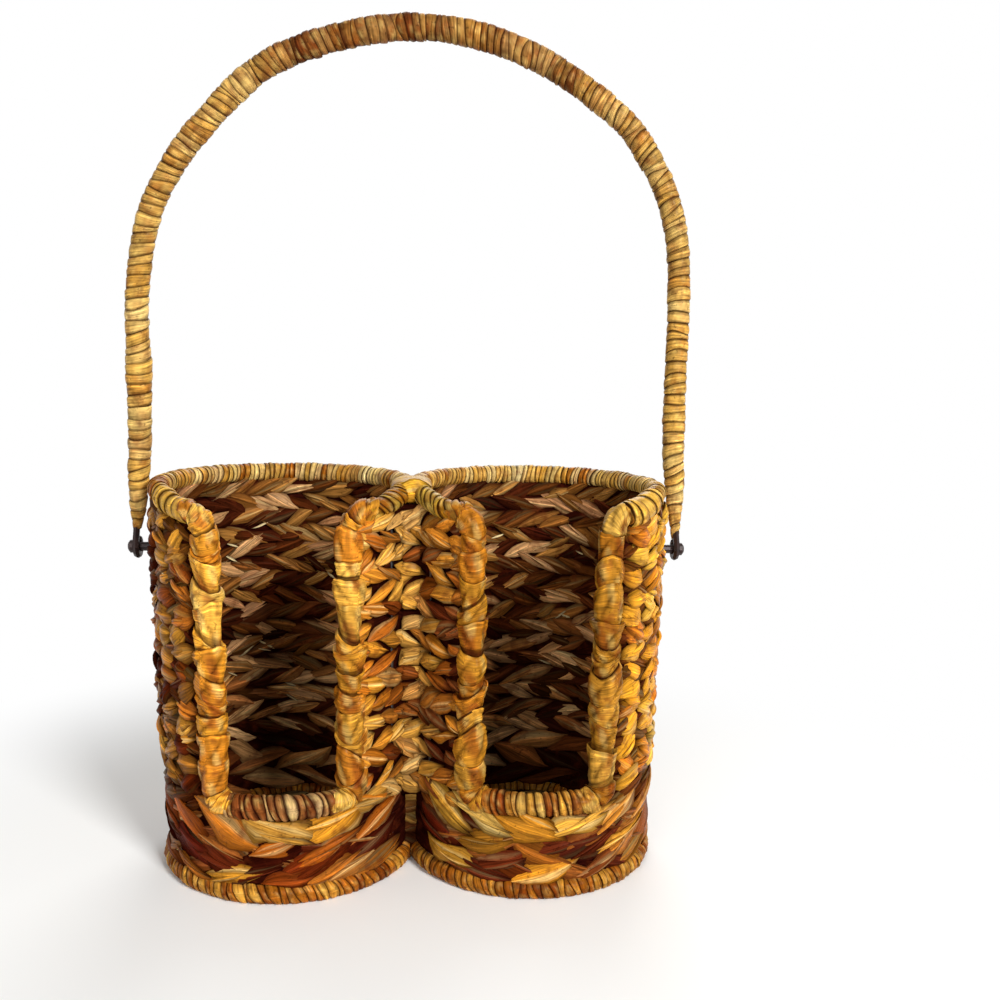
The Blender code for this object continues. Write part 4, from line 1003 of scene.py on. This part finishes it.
def tieKnot(onFloor):
    # a flat knot of leaf in the middle: a ball pressed to the floor's thickness,
    # radius = R cos(u) with a ripple, height = H sin(u)
    look, rows, columns = floorLook, 9, 20
    u = np.linspace(-1, 1, rows)[:, None] * 1.45
    w = np.linspace(0, 2 * np.pi, columns, endpoint=False)[None, :]
    ripple = 1 + 0.05 * np.sin(5 * w + 4 * u)
    knot = onFloor(look["knotRadius"] * np.cos(u) * ripple, w,
                   look["height"] + look["knotHalf"] * np.sin(u))
    poles = onFloor(0, 0, look["height"] + np.array([-1, 1]) * look["knotHalf"])
    knot = np.concatenate([knot.reshape(-1, 3), poles])
    tint = np.broadcast_to(palette(look["top"])[1], knot.shape)
    return {"points": knot, "faces": [gridFaces(rows, columns), poleFaces(rows, columns)],
            "colours": paintShade(tint, 0.8), "creased": np.zeros(len(knot), bool),
            "uv": withEnds(together(w * 7 * mm, u * 7 * mm).reshape(-1, 2))}


def weaveFloor(cell, side, rng):
    # rings of leaves bent round the middle, on top and underneath, over dark flat rings
    look, rings = floorLook, floorLook["rings"]
    pitch = (look["outerRadius"] - look["innerRadius"]) / rings

    def onFloor(radius, angle, height):
        x = side * wire["cellOffset"] + radius * np.cos(angle)
        return together(x, radius * np.sin(angle), height)

    def place(row, s, share, out):
        return onFloor(look["innerRadius"] + pitch * (row + 0.5 + share), s, look["height"] + out)

    s = 2 * np.pi * np.arange(60) / 60
    parts = [coreRows(place, rings, s, True, look["coreThick"], rng, 30 * mm)]
    for way, names in ((1, look["top"]), (-1, look["under"])):
        for ring in range(rings):
            middle = look["innerRadius"] + pitch * (ring + 0.5)
            count = max(4, int(2 * np.pi * middle / (look["overlap"] * look["leafLength"])))
            turn = 2 * np.pi * (np.arange(count) + rng.uniform(0, 0.5)) / count

            def surface(u, z, out):
                return onFloor(middle + z, u / middle, look["height"] + way * out)

            group = {
                "u": turn * middle, "z": 0.0, "length": min(look["leafLength"], 1.6 * middle),
                "height": rng.uniform(0.95, 1.25, count) * pitch, "thick": look["thick"],
                "lift": look["lift"], "startDive": 0.3 * mm, "endDive": 1.0 * mm,
                "slant": np.radians(rng.uniform(*look["slant"], count)) * turnabout(ring),
                "tint": pick(rng, names, count),
            }
            parts.append(layLeaves(surface, group, rng))
    weavePiece(cell + "_floor_weave", parts + [tieKnot(onFloor)], "floorLeafWoven", "floor_leaf",
               None, look["underside"], cell + "_woven_floor")


# Wound leaf

turnProfiles = {
    # share of a turn's width, and height of the leaf there, from its buried edge to its free one
    "round": ((0.0, 0.0), (0.1, 0.62), (0.32, 0.95), (0.6, 1.0), (0.85, 0.72), (0.98, 0.2)),
    "flat": ((0.0, 0.0), (0.08, 0.45), (0.3, 0.8), (0.6, 1.0), (0.88, 0.95), (1.04, 0.5)),
    "cup": ((-0.02, 0.55), (-0.06, 0.95), (0.04, 1.0), (0.2, 0.8), (0.45, 0.5), (0.72, 0.2),
            (1.0, -0.12)),
    "puffy": ((-0.02, 0.0), (0.05, 0.5), (0.2, 0.88), (0.45, 1.0), (0.7, 0.82), (0.9, 0.45),
              (1.0, 0.0)),
}


def turnProfile(name, detail):
    # a profile with its points joined by straight lines, cut into that many parts each
    coarse = np.array(turnProfiles[name])
    places = np.linspace(0, len(coarse) - 1, detail * (len(coarse) - 1) + 1)
    return columnsAt(places, np.arange(len(coarse)), coarse)


def windingFaces(rows, around, shift):
    # quads between rows of corners round the path, with a seam that joins each row to the one a
    # turn further on, and triangles that close both ends on the corners numbered after them
    grid = np.arange(rows * around).reshape(rows, around)
    body = np.stack([grid[:-1, :-1], grid[:-1, 1:], grid[1:, 1:], grid[1:, :-1]], -1).reshape(-1, 4)
    last = rows - 1 - shift
    seam = np.stack([grid[:last, -1], grid[shift:shift + last, 0],
                     grid[shift + 1:shift + last + 1, 0], grid[1:last + 1, -1]], -1)
    firstLoop = np.concatenate([grid[0], grid[:shift + 1, 0][::-1][:-1] if shift else []])
    lastLoop = np.concatenate([grid[-1][::-1], grid[last:, -1][:-1] if shift else []])
    faces = [body, seam]
    for number, loop in enumerate((firstLoop.astype(int), lastLoop.astype(int))):
        pole = np.full(len(loop), grid.size + number)
        faces.append(np.stack([np.roll(loop, -1), loop, pole], axis=-1))
    return faces


def windLeaf(path, edges, radius, look, colours, rng, flare=None):
    # a turn's corner: distance along = edge + share of the turn + tilt cos(angle), distance out =
    # (radius + ridge * profile) * random scale and waves + pleats - folds, round by the angle
    turns, around = len(edges) - 1, look["around"]
    profile = turnProfile(look["profile"], look["detail"])[None]
    if look["puffy"]:                                # some turns puff out instead of flaring
        puffy = smoothStep((look["puffy"] + 0.15 - rng.random((turns, 1, 1))) / 0.3)
        profile = profile + (turnProfile("puffy", look["detail"]) - profile) * puffy
    k = np.arange(turns)[:, None, None]
    angle = (2 * np.pi * np.arange(around) / around)[None, None, :]
    turnAt = k + (angle / (2 * np.pi) if look["spiral"] else 0 * angle)
    slots, tiltSlots = np.arange(turns + 1), np.arange(turns + 2)
    startEdge = np.interp(turnAt, slots, edges)
    stopEdge = np.interp(turnAt + 1, tiltSlots, np.append(edges, edges[-1]))
    tiltSize = rng.uniform(0, look["tilt"], turns + 2) * np.mean(np.diff(edges))
    tiltTurn = look["tiltTurn"] + rng.normal(0, look["tiltSpread"], turns + 2)

    def tiltOf(turn):
        way = np.interp(turn, tiltSlots, tiltTurn)
        return np.interp(turn, tiltSlots, tiltSize) * np.cos(angle - way)

    startEdge = startEdge + tiltOf(turnAt)
    stopEdge = stopEdge + tiltOf(turnAt + 1)
    share = profile[..., 0][..., None]
    ripple = rng.uniform(0, 2 * np.pi, (turns, 1, 1))
    ripple = np.sin(3 * angle + ripple) + 0.6 * np.sin(7 * angle + 3 * ripple)
    distance = startEdge * (1 - share) + stopEdge * share
    distance = distance + look["ragged"] * ripple * (1 - share) ** 2
    rise = profile[..., 1][..., None] + rng.normal(0, look["crease"], (turns, profile.shape[1], 1))
    scale = rng.uniform(1 - look["uneven"], 1 + look["uneven"], turns + 1)
    waves = rng.uniform(0, 2 * np.pi, (turns, 1, 1))
    wobble = np.sin(2 * angle + waves) + 0.6 * np.sin(5 * angle + 2 * waves)
    ridge = look["ridge"] if flare is None else np.interp(turnAt, slots, flare)
    core = np.interp(distance, path["along"], radius)
    pleats = np.sin(look["pleats"] * angle + 3 * waves)
    pleats = pleats + 0.7 * np.sin((look["pleats"] + 4) * angle - waves)
    height = (core + ridge * rise) * np.interp(turnAt, slots, scale)
    height = height * (1 + look["wobble"] * wobble) + look["pleatDepth"] * pleats * (1 - share)
    diagonal = look["folds"] * angle + 6 * rng.choice([-1, 1], (turns, 1, 1)) * share + 5 * waves
    folds = (1 - np.abs(np.sin(diagonal / 2))) ** 2 * 4 * np.clip(share * (1 - share), 0, 1)
    height = height - look["foldDepth"] * folds
    cosine, sine = np.cos(angle), np.sin(angle)
    if look["stretch"] != 1:                         # a squarer oval, wider along the normal
        cosine = look["stretch"] * np.sign(cosine) * np.abs(cosine) ** 0.75
        sine = np.sign(sine) * np.abs(sine) ** 0.75
    normal, across = lookUp(path, "normal", distance), lookUp(path, "across", distance)
    points = lookUp(path, "points", distance) + (height * cosine)[..., None] * normal
    points = points + (height * sine)[..., None] * across
    mottle = np.sin(4 * angle + 7 * waves) + np.sin(9 * angle - 4 * waves + 4 * share)
    # painted shade: dark in the grooves between turns and in the folds' creases
    lit = smoothStep(rise, look["groove"], look["rimWidth"]) * (1 - look["foldShade"] * folds)
    lit = np.clip(lit * (1 + look["mottle"] * mottle), 0, 1)
    tint = columnsAt(turnAt, slots, colours) * np.ones(height.shape + (1,))
    # painted light and shade: paler on the pleats' crests, darker in their hollows
    tint = tint * (1 + 0.12 * pleats * (1 - share))[..., None]
    # red-brown patches: partly the leaf's own colour, partly painted shade
    rust = np.sin(2 * angle + 4 * waves + 3 * share) + 0.7 * np.sin(3 * angle - 5 * waves)
    rust = (look["rust"] * smoothStep(rust, 0.1, 1.2))[..., None]
    # painted highlights: pale yellow patches
    highlight = np.sin(2 * angle - 5 * waves + 4 * share) + 0.7 * np.sin(5 * angle + 3 * waves)
    highlight = (look["highlight"] * smoothStep(highlight, 0.4, 0.9))[..., None]
    tint = tint + (linear(look["rustColour"]) - tint) * rust
    tint = (tint + (linear(look["highlightColour"]) - tint) * highlight) * look["tone"]
    tint = paintShade(tint, look["dark"] + (1 - look["dark"]) * lit)
    uv = together((k + angle / (2 * np.pi)) * 2 * np.pi * np.mean(radius),
                  share * look["uvWidth"] + 0.0131 * k)
    ends = lookUp(path, "points", edges[[0, -1]])
    across = profile.shape[1]
    return {"points": np.concatenate([points.reshape(-1, 3), ends]),
            "faces": windingFaces(turns * across, around, across if look["spiral"] else 0),
            "colours": withEnds(tint.reshape(-1, 4)), "uv": withEnds(uv.reshape(-1, 2))}


def turnEdges(length, look, rng):
    # turn edges from end to end, each width the pitch with a random change, and wider by the
    # spread near the far end
    whole, spread = length + 2 * look["overrun"], look["spread"]
    count = max(2, int(round(whole / look["pitch"] / (1 + 0.14 * spread))))
    widths = np.clip(1 + look["unevenWidth"] * rng.normal(0, 1, count), 0.45, 1.9)
    widths *= 1 + spread * smoothStep(np.arange(count) / count, 0.83, 0.08)
    return np.concatenate([[0], np.cumsum(widths)]) / widths.sum() * whole - look["overrun"]


plainTurn = {
    # in these, the grooves' darkness is painted shade and the pale patches are painted highlights
    "around": 18, "spiral": True, "crease": 0.06, "uneven": 0.05, "wobble": 0.02, "dark": 0.1,
    "groove": 0.02, "pleats": 5, "pleatDepth": 0, "ragged": 0, "puffy": 0, "mottle": 0.14,
    "tone": 1.0, "rust": 0.2, "rustColour": "#8A3A10", "highlight": 0.2, "highlightColour": "#F2D47C",
    "detail": 1, "rimWidth": 0.7, "folds": 2, "foldDepth": 0.12 * mm, "foldShade": 0.3,
    "unevenWidth": 0.16, "spread": 0, "overrun": 1.0 * mm, "thickEnd": 0, "stretch": 1,
}
windings = {
    "rimBack": dict(
        plainTurn, piece="_rim_back_winding", node="_rim_wrap_back", slot="honey_wrap",
        material="honeyLeafWound", pitch=2.6 * mm, radius=3.85 * mm, ridge=0.6 * mm,
        profile="flat", tilt=0.9, tiltTurn=1.2, tiltSpread=0.35, wobble=0.012, groove=0.36,
        spread=0.9, uvWidth=3 * mm, tone=1.12, crease=0.1, uneven=0.08, dark=0.03,
        thickFrom=0.87, endFrom=0.85, endColour="#DCA840",     # shares of the run's length
        colours="#DCAE54 #CE9A3C #BC862C #E8C678 #A4641A #D4A24C #A05812 #EED290 #E0B460"),
    "rimFront": dict(
        plainTurn, piece="_rim_front_winding", node="_rim_wrap_front", slot="honey_wrap",
        material="honeyLeafWound", pitch=3.3 * mm, radius=3.8 * mm, ridge=0.75 * mm,
        profile="flat", tilt=1.3, tiltTurn=1.2, tiltSpread=0.4, groove=0.48, spread=0.5,
        uvWidth=3.5 * mm, tone=0.94, dark=0.03, highlight=0.35, rust=0.4,
        colours="#D3A233 #C79124 #DAB147 #BC7E1C #CF9A38 #B37318 #D8AB40"),
    "sill": dict(
        plainTurn, piece="_sill_winding", node="_sill_wrap", slot="honey_wrap",
        material="brownLeafWound", pitch=3.1 * mm, radius=4.6 * mm, ridge=0.85 * mm,
        profile="round", tilt=0.6, tiltTurn=0.6, tiltSpread=0.8, crease=0.1, dark=0.02,
        groove=0.4, rust=0.3, uvWidth=4 * mm, highlight=0.3, overrun=1.5 * mm,
        colours="#B87C44 #D4A468 #9A5A28 #E0B87C #AC6C34 #7C3E18 #CC9458 #8E4E22"),
    "base": dict(
        plainTurn, piece="_base_winding", node="_base_wrap", slot="brown_wrap",
        material="brownLeafWound", pitch=3.3 * mm, radius=4.1 * mm, ridge=0.7 * mm,
        profile="round", tilt=0.7, tiltTurn=0.9, tiltSpread=0.6, crease=0.1, dark=0.05,
        groove=0.22, rust=0.4, uvWidth=4 * mm,
        colours="#BC701A #C88026 #A05A12 #B06618 #D08E30 #8E4610 #B86A1C #D89A38"),
    "jamb": dict(
        plainTurn, cornerPitch=4.6 * mm, cornerFlare=0.9, closest=1.8 * mm,
        footTurns=((-9, 1.3), (-4, 1.2), (2, 0.9)),  # mm past the path's end, and flare in mm
        coreHeights=(44, 60, 150, 165), coreRadii=(4.9, 5.0, 5.0, 4.3),
        ridge=1.9 * mm, around=36, profile="cup", spiral=False, tilt=0.6, tiltTurn=0.0,
        tiltSpread=1.6, crease=0.08, uneven=0.07, wobble=0.06, dark=0.05, pleats=7,
        pleatDepth=0.2 * mm, ragged=0.3 * mm, puffy=0.5, rust=0.65, folds=4,
        foldDepth=0.85 * mm, foldShade=0.8, uvWidth=12 * mm, mottle=0.18, groove=-0.1, highlight=0.35,
        detail=3, rimWidth=0.4,
        colours="#DC982F #D08925 #E6A941 #C87D1F #DA9A33 #C0761F #EAB44E #D08D27"),
    "tie": dict(
        plainTurn, ridge=0.9 * mm, around=28, profile="flat", spiral=False, tilt=0.5,
        tiltTurn=1.2, tiltSpread=0.4, wobble=0.015, groove=0.48, uvWidth=3.5 * mm, tone=0.94,
        highlight=0.35, rust=0.4, overrun=0.3 * mm),
    "handle": dict(
        plainTurn, ridge=0.62 * mm, around=24, profile="flat", tilt=0.5, tiltTurn=0.0,
        tiltSpread=1.5, crease=0.1, dark=0.05, groove=0.24, mottle=0.16, rust=0.35, tone=1.08,
        uvWidth=5 * mm),
}

# What a run of one cell has of its own; thickEnd: how much thicker the winding ends
ownLooks = {
    ("left", "rimBack"): {"thickEnd": 0.12},
    ("right", "rimBack"): {"thickEnd": 0.42},
    ("right", "sill"): {
        "colours": "#C8842C #D89A38 #A8601C #E0AC50 #B87024 #8A4212 #D09240 #9C5218"},
    ("right", "base"): {"tone": 0.8},
}

# Each jamb's tone beside the others, a brighter place on it (mm above the floor, and how much),
# and the upper lips of its cups from the top down (mm above the floor, and flare in mm)
jambs = {
    ("left", "outer"): {"tone": 1.16, "bright": (112, 0.2), "lips": (
        (153, 1.4), (149, 1.5), (138, 1.6), (128, 1.0), (115, 0.7), (110.5, 1.9), (98.5, 1.5),
        (89, 1.1), (82, 1.0), (73, 1.2), (62, 1.5))},
    ("left", "inner"): {"tone": 0.88, "bright": (156, 0.45), "lips": (
        (147, 1.1), (140, 1.6), (129, 1.0), (116, 1.4), (110, 1.9), (101, 1.3), (92.5, 1.7),
        (84, 1.2), (74, 1.9), (64, 1.3), (55, 1.5))},
    ("right", "inner"): {"tone": 0.8, "bright": (0, 0), "lips": (
        (152, 1.4), (141, 1.3), (130, 1.1), (121, 1.6), (109.5, 2.1), (97, 0.6), (91, 2.1),
        (80, 0.6), (73, 2.0), (60, 1.6))},
    ("right", "outer"): {"tone": 0.68, "bright": (0, 0), "lips": (
        (148, 1.6), (137, 1.3), (122, 1.8), (114, 1.0), (108, 1.0), (103, 1.7), (87, 1.1),
        (77, 1.3), (65, 1.5))},
}


def windRun(cell, side, run, rng):
    # one run of a cell's rim, sill or base; the rim's back run ends thicker and in its own colour
    look = dict(windings[run], **ownLooks.get((cell, run), {}))
    path = cellPath(side, run)
    edges = turnEdges(path["length"], look, rng)
    tints = pick(rng, look["colours"], len(edges))
    radius = np.full(len(path["along"]), look["radius"])
    if look["thickEnd"]:
        thick = smoothStep(path["along"] / path["length"], look["thickFrom"], 0.05)
        radius = radius * (1 + look["thickEnd"] * thick)
        nearEnd = smoothStep(edges / path["length"], look["endFrom"], 0.05)[:, None]
        tints = tints + (pick(rng, look["endColour"], len(edges)) - tints) * nearEnd
    part = windLeaf(path, edges, radius, look, tints, rng)
    keepSide(part["points"], side)
    makePiece(cell + look["piece"], part, look["material"], "basket", look["slot"],
              cell + look["node"])


def windJamb(cell, side, which, rng):
    # cups with their upper lips at the heights of the table, and even ones round both bends
    look = dict(windings["jamb"], **jambs[cell, which])
    path = cellPath(side, which)
    heights = path["points"][:, 2]
    lips, foot = np.array(look["lips"]), np.array(look["footTurns"])
    topEnd = np.pi / 2 * wire["topBend"] - 1.5 * mm
    corner = np.arange(-1.5 * mm, topEnd, look["cornerPitch"])
    edges = np.interp(-lips[:, 0] * mm, -heights, path["along"])
    edges = np.concatenate([corner, edges, path["length"] + foot[:, 0] * mm])
    flare = np.concatenate([np.full(len(corner), look["cornerFlare"]), lips[:, 1], foot[:, 1]]) * mm
    order = np.argsort(edges)
    edges, flare = edges[order], flare[order]
    keep = np.concatenate([[True], np.diff(edges) > look["closest"]])
    edges, flare = edges[keep], flare[keep]
    middle, more = look["bright"]
    bright = 1 + more * bell(np.interp(edges, path["along"], heights) / mm, middle, 10)
    tints = pick(rng, look["colours"], len(edges)) * bright[:, None]
    core = np.interp(heights, np.array(look["coreHeights"]) * mm, np.array(look["coreRadii"]) * mm)
    part = windLeaf(path, edges, core, look, tints, rng, flare)
    makePiece(cell + "_" + which + "_jamb_cups", part, "honeyLeafWound", "basket", "honey_wrap",
              cell + "_" + which + "_jamb_wrap")


ties = {
    "rim": {
        "slot": "honey_wrap", "material": "honeyLeafWound", "height": 171.4 * mm,
        "front": 17 * mm, "back": 8.2 * mm, "radius": 5.0 * mm, "stretch": 1.6, "turns": 2,
        "dark": 0.6, "colours": "#D8A030 #E0AC3C #D09428"},
    "base": {
        "slot": "brown_wrap", "material": "brownLeafWound", "height": 4.2 * mm,
        "front": 6.6 * mm, "back": 6.6 * mm, "radius": 4.4 * mm, "stretch": 1.4, "turns": 3,
        "dark": 0.35, "colours": "#7A4A22 #8E5A2A #6A3C1A #7A4A22"},
}


def tieCells(which, rng):
    # a broad leaf wound a few times round the wires of both cells
    look = dict(windings["tie"], **ties[which])
    path = evenPath(together(0.0, np.linspace(-look["front"], look["back"], 40), look["height"]),
                    (1.0, 0, 0))
    edges = np.linspace(-look["overrun"], path["length"] + look["overrun"], look["turns"] + 1)
    radius = np.full(len(path["along"]), look["radius"])
    part = windLeaf(path, edges, radius, look, palette(look["colours"]), rng)
    keepSide(part["points"], None)
    makePiece(which + "_tie", part, look["material"], "basket", look["slot"], which + "_binding")


def foldTieEnd(rng):
    # the tie's broad end, folded down over the front of both rims
    def surface(u, z, out):
        return together(u, -19.5 * mm - out + 6 * u ** 2, z)

    group = {
        "u": np.array([-0.5, 1.0]) * mm, "z": np.array([173.3, 171.0]) * mm,
        "length": np.array([19, 15]) * mm, "height": np.array([9.5, 6.0]) * mm,
        "thick": 1.6 * mm, "lift": np.array([0.0, 0.6]) * mm,
        "slant": np.radians([5.0, -9.0]), "startDive": 1.5 * mm, "endDive": 1.8 * mm,
        "tint": palette("#E0A832 #D29428"),
    }
    parts = [layLeaves(surface, group, rng)]
    weavePiece("rim_tie_end", parts, "leafWoven", "honey_wrap", None, 0.0)


# Handle

handleLook = {
    "halfSpan": 117.45 * mm, "rise": 216.5 * mm, "pivot": 144.5 * mm,
    "eyeX": 121.05 * mm, "woundFrom": 5.4 * mm,
    "outline": ((-1.0175, 0.118), (-1.0132, 0.155), (-1.0038, 0.21), (-0.994, 0.36),
                (-0.987, 0.496), (-0.943, 0.628), (-0.871, 0.716), (-0.742, 0.81),
                (-0.495, 0.93), (-0.148, 0.9935), (0.166, 0.9985), (0.468, 0.95),
                (0.746, 0.855), (0.862, 0.779), (0.932, 0.71), (0.9795, 0.616),
                (0.995, 0.496), (0.9975, 0.36), (1.0038, 0.21), (1.0132, 0.155), (1.0175, 0.118)),
    "taper": ((0.03, 0.3), (0.05, 0.42), (0.085, 0.7), (0.118, 0.83), (0.15, 0.92), (0.2, 1.0)),
    "joins": ((-116, 222, 0.14), (103, 322, 0.10), (-92, 312, 0.06)),     # x, z in mm, thickening
    "radius": 4.45 * mm, "pitchLeg": 4.5 * mm, "pitchTop": 3.1 * mm, "topThick": 0.07,
    "legs": "#DCB058 #E0B662 #D4A44C #CE9A44 #E6C276 #D8A850 #BC8234 #E0BC74 #CA943E",
    "arch": "#794A1A #865624 #653714 #916128 #582D12 #996B34 #79481D #4D270D #A67B44",
}


def smoothCurve(points, steps):
    # a Catmull-Rom curve through all the points
    points = np.asarray(points, float)
    padded = np.concatenate([[2 * points[0] - points[1]], points, [2 * points[-1] - points[-2]]])
    t = (np.arange(steps) / steps)[None, :, None]
    a, b, c, d = (padded[k:len(padded) - 3 + k][:, None] for k in range(4))
    spans = b + ((c - a) * t + (2 * a - 5 * b + 4 * c - d) * t ** 2
                 + (3 * b - a - 3 * c + d) * t ** 3) / 2
    return np.concatenate([spans.reshape(-1, 3), points[-1:]])


def handlePath():
    # the outline as one smooth curve, from just above one pin to just above the other
    look = handleLook
    shares = np.array(look["outline"])
    line = np.zeros((len(shares) + 2, 3))
    line[1:-1, 0] = shares[:, 0] * look["halfSpan"]
    line[1:-1, 2] = look["pivot"] + shares[:, 1] * look["rise"]
    line[0] = (-look["eyeX"], 0, look["pivot"] + look["woundFrom"])
    line[-1] = line[0] * (-1, 1, 1)
    return evenPath(smoothCurve(line, 12), (0, 1.0, 0))


def windHandle(rng):
    # wider turns on the legs than on the arch, thinner towards the pins, thicker at the joins
    look = handleLook
    path = handlePath()
    x, z = path["points"][:, 0], path["points"][:, 2]
    rise = (z - look["pivot"]) / look["rise"]
    thick = 1 + look["topThick"] * smoothStep(rise, 0.75, 0.2)
    for joinX, joinZ, more in look["joins"]:
        thick = thick + more * bell(np.hypot(x - joinX * mm, z - joinZ * mm), 0, 9 * mm)
    radius = look["radius"] * np.interp(rise, *np.array(look["taper"]).T) * thick
    pitch = look["pitchLeg"] + (look["pitchTop"] - look["pitchLeg"]) * smoothStep(rise, 0.5, 0.35)
    turnsAlong = np.concatenate([[0], np.cumsum(wire["pathStep"] / pitch[1:])])
    count = int(turnsAlong[-1])
    wanted = np.linspace(0, turnsAlong[-1], count + 1)
    wanted[1:-1] += rng.normal(0, 0.14, count - 1)
    edges = np.interp(np.sort(wanted), turnsAlong, path["along"])
    edges[0], edges[-1] = 0, path["length"]
    levels = np.interp(edges, path["along"], rise)
    legs, arch = (pick(rng, look[key], len(edges)) for key in ("legs", "arch"))
    upper = 0.4 * smoothStep(levels, 0.5, 0.2) + 0.6 * smoothStep(levels, 0.86, 0.1)
    upper = np.clip(upper + rng.uniform(-0.25, 0.25, len(edges)), 0, 1)[:, None]
    part = windLeaf(path, edges, radius, windings["handle"], legs + (arch - legs) * upper, rng)
    makePiece("handle_winding", part, "brownLeafWound", "handle", "brown_wrap", "handle_wrap")


seeded = np.random.default_rng
for cell, side in sides.items():
    seed = {"left": 11, "right": 29}[cell]
    weaveWall(cell, side, seeded(seed))
    weaveFloor(cell, side, seeded(seed + 1))
    for number, run in enumerate(("rimBack", "rimFront", "sill", "base")):
        windRun(cell, side, run, seeded(seed + 2 + number))
    for number, which in enumerate(("outer", "inner")):
        windJamb(cell, side, which, seeded(seed + 6 + number))
laceValley(seeded(70))
tieCells("rim", seeded(71))
foldTieEnd(seeded(74))
tieCells("base", seeded(72))
windHandle(seeded(73))
print("all pieces made")


# Camera, floor and light

view = {
    "place": (1.943 * mm, -478.57 * mm, 236.02 * mm),
    "tilt": 0.216, "yaw": np.radians(4.605), "roll": np.radians(1.164),   # down, right, turned
    "lens": 38.57, "shift": 0.0777,
}
studio = {
    "floor": "#F4F4F2", "floorHalf": 6.0, "ambient": 0.27,
    "fade": (0.16, 0.34),              # metres from the middle where the floor turns plain white
    "lamps": {
        "key": {"place": (0.7, -1.2, 0.85), "size": 0.45, "power": 26.0},
        "fill": {"place": (-0.4, -1.3, 0.7), "size": 0.9, "power": 6.0},
        "back": {"place": (0.2, 1.1, 1.0), "size": 0.9, "power": 9.0},
    },
    "aim": (0, 0, 0.14),
}


def addCamera():
    # ahead, right and up from the tilt and yaw, then turned about ahead by the roll
    tilt, yaw, roll = view["tilt"], view["yaw"], view["roll"]
    ahead = np.array([np.sin(yaw) * np.cos(tilt), np.cos(yaw) * np.cos(tilt), -np.sin(tilt)])
    right = np.array([np.cos(yaw), -np.sin(yaw), 0])
    up = np.cross(right, ahead)
    turnedRight = np.cos(roll) * right + np.sin(roll) * up
    turnedUp = -np.sin(roll) * right + np.cos(roll) * up
    data = bpy.data.cameras.new("camera")
    data.sensor_width, data.lens, data.shift_y = 36, view["lens"], view["shift"]
    data.clip_start, data.clip_end = 0.01, 50
    camera = bpy.data.objects.new("camera", data)
    bpy.context.scene.collection.objects.link(camera)
    turn = Matrix(np.stack([turnedRight, turnedUp, -ahead], axis=1).tolist())
    camera.matrix_world = Matrix.Translation(view["place"]) @ turn.to_4x4()
    bpy.context.scene.camera = camera


def addLamp(name, look):
    data = bpy.data.lights.new(name, "AREA")
    data.shape, data.size, data.energy = "DISK", look["size"], look["power"]
    lamp = bpy.data.objects.new(name, data)
    bpy.context.scene.collection.objects.link(lamp)
    lamp.location = look["place"]
    aim = Vector(studio["aim"]) - lamp.location
    lamp.rotation_euler = aim.to_track_quat("-Z", "Y").to_euler()


def anyRay(tree):
    # 1 for camera, glossy and transmission rays, which see plain white
    rays = addNode(tree, "ShaderNodeLightPath", {})
    seen = addNode(tree, "ShaderNodeMath", {
        0: rays.outputs["Is Camera Ray"], 1: rays.outputs["Is Glossy Ray"]}, operation="MAXIMUM")
    seen = addNode(tree, "ShaderNodeMath", {
        0: seen.outputs["Value"], 1: rays.outputs["Is Transmission Ray"]}, operation="MAXIMUM")
    return seen.outputs["Value"]


def addFloor():
    # a pale floor that keeps the shadow near the basket and runs out to plain white
    material, tree, shader = newMaterial("paleFloor")
    setInputs(tree, shader, {
        "Base Color": (*linear(studio["floor"]), 1), "Roughness": 0.9, "Specular IOR Level": 0.0})
    place = addNode(tree, "ShaderNodeTexCoord", {})
    far = addNode(tree, "ShaderNodeVectorMath", {0: place.outputs["Object"]}, operation="LENGTH")
    fade = addNode(tree, "ShaderNodeMapRange", {
        "Value": far.outputs["Value"], "From Min": studio["fade"][0],
        "From Max": studio["fade"][1]}, interpolation_type="SMOOTHSTEP")
    share = addNode(tree, "ShaderNodeMath", {
        0: anyRay(tree), 1: fade.outputs["Result"]}, operation="MULTIPLY")
    white = addNode(tree, "ShaderNodeEmission", {"Color": (1, 1, 1, 1), "Strength": 1.0})
    mixed = addNode(tree, "ShaderNodeMixShader", {
        0: share.outputs["Value"], 1: shader.outputs["BSDF"], 2: white.outputs["Emission"]})
    setInputs(tree, tree.nodes["Material Output"], {"Surface": mixed.outputs["Shader"]})
    half = studio["floorHalf"]
    corners = [(-half, -half, 0), (half, -half, 0), (half, half, 0), (-half, half, 0)]
    mesh = bpy.data.meshes.new("floor")
    mesh.from_pydata(corners, [], [(0, 1, 2, 3)])
    mesh.materials.append(material)
    floor = bpy.data.objects.new("floor", mesh)
    bpy.context.scene.collection.objects.link(floor)


def addWorld():
    world = bpy.data.worlds.new("studio")
    world.use_nodes = True
    tree = world.node_tree
    tree.nodes.clear()
    dim = addNode(tree, "ShaderNodeBackground", {
        "Color": (1, 1, 1, 1), "Strength": studio["ambient"]})
    bright = addNode(tree, "ShaderNodeBackground", {"Color": (1, 1, 1, 1), "Strength": 1.0})
    mixed = addNode(tree, "ShaderNodeMixShader", {
        0: anyRay(tree), 1: dim.outputs["Background"], 2: bright.outputs["Background"]})
    addNode(tree, "ShaderNodeOutputWorld", {"Surface": mixed.outputs["Shader"]})
    bpy.context.scene.world = world


addCamera()
addFloor()
addWorld()
for name, look in studio["lamps"].items():
    addLamp(name, look)
bpy.context.scene.view_settings.view_transform = "Standard"
print("studio made")
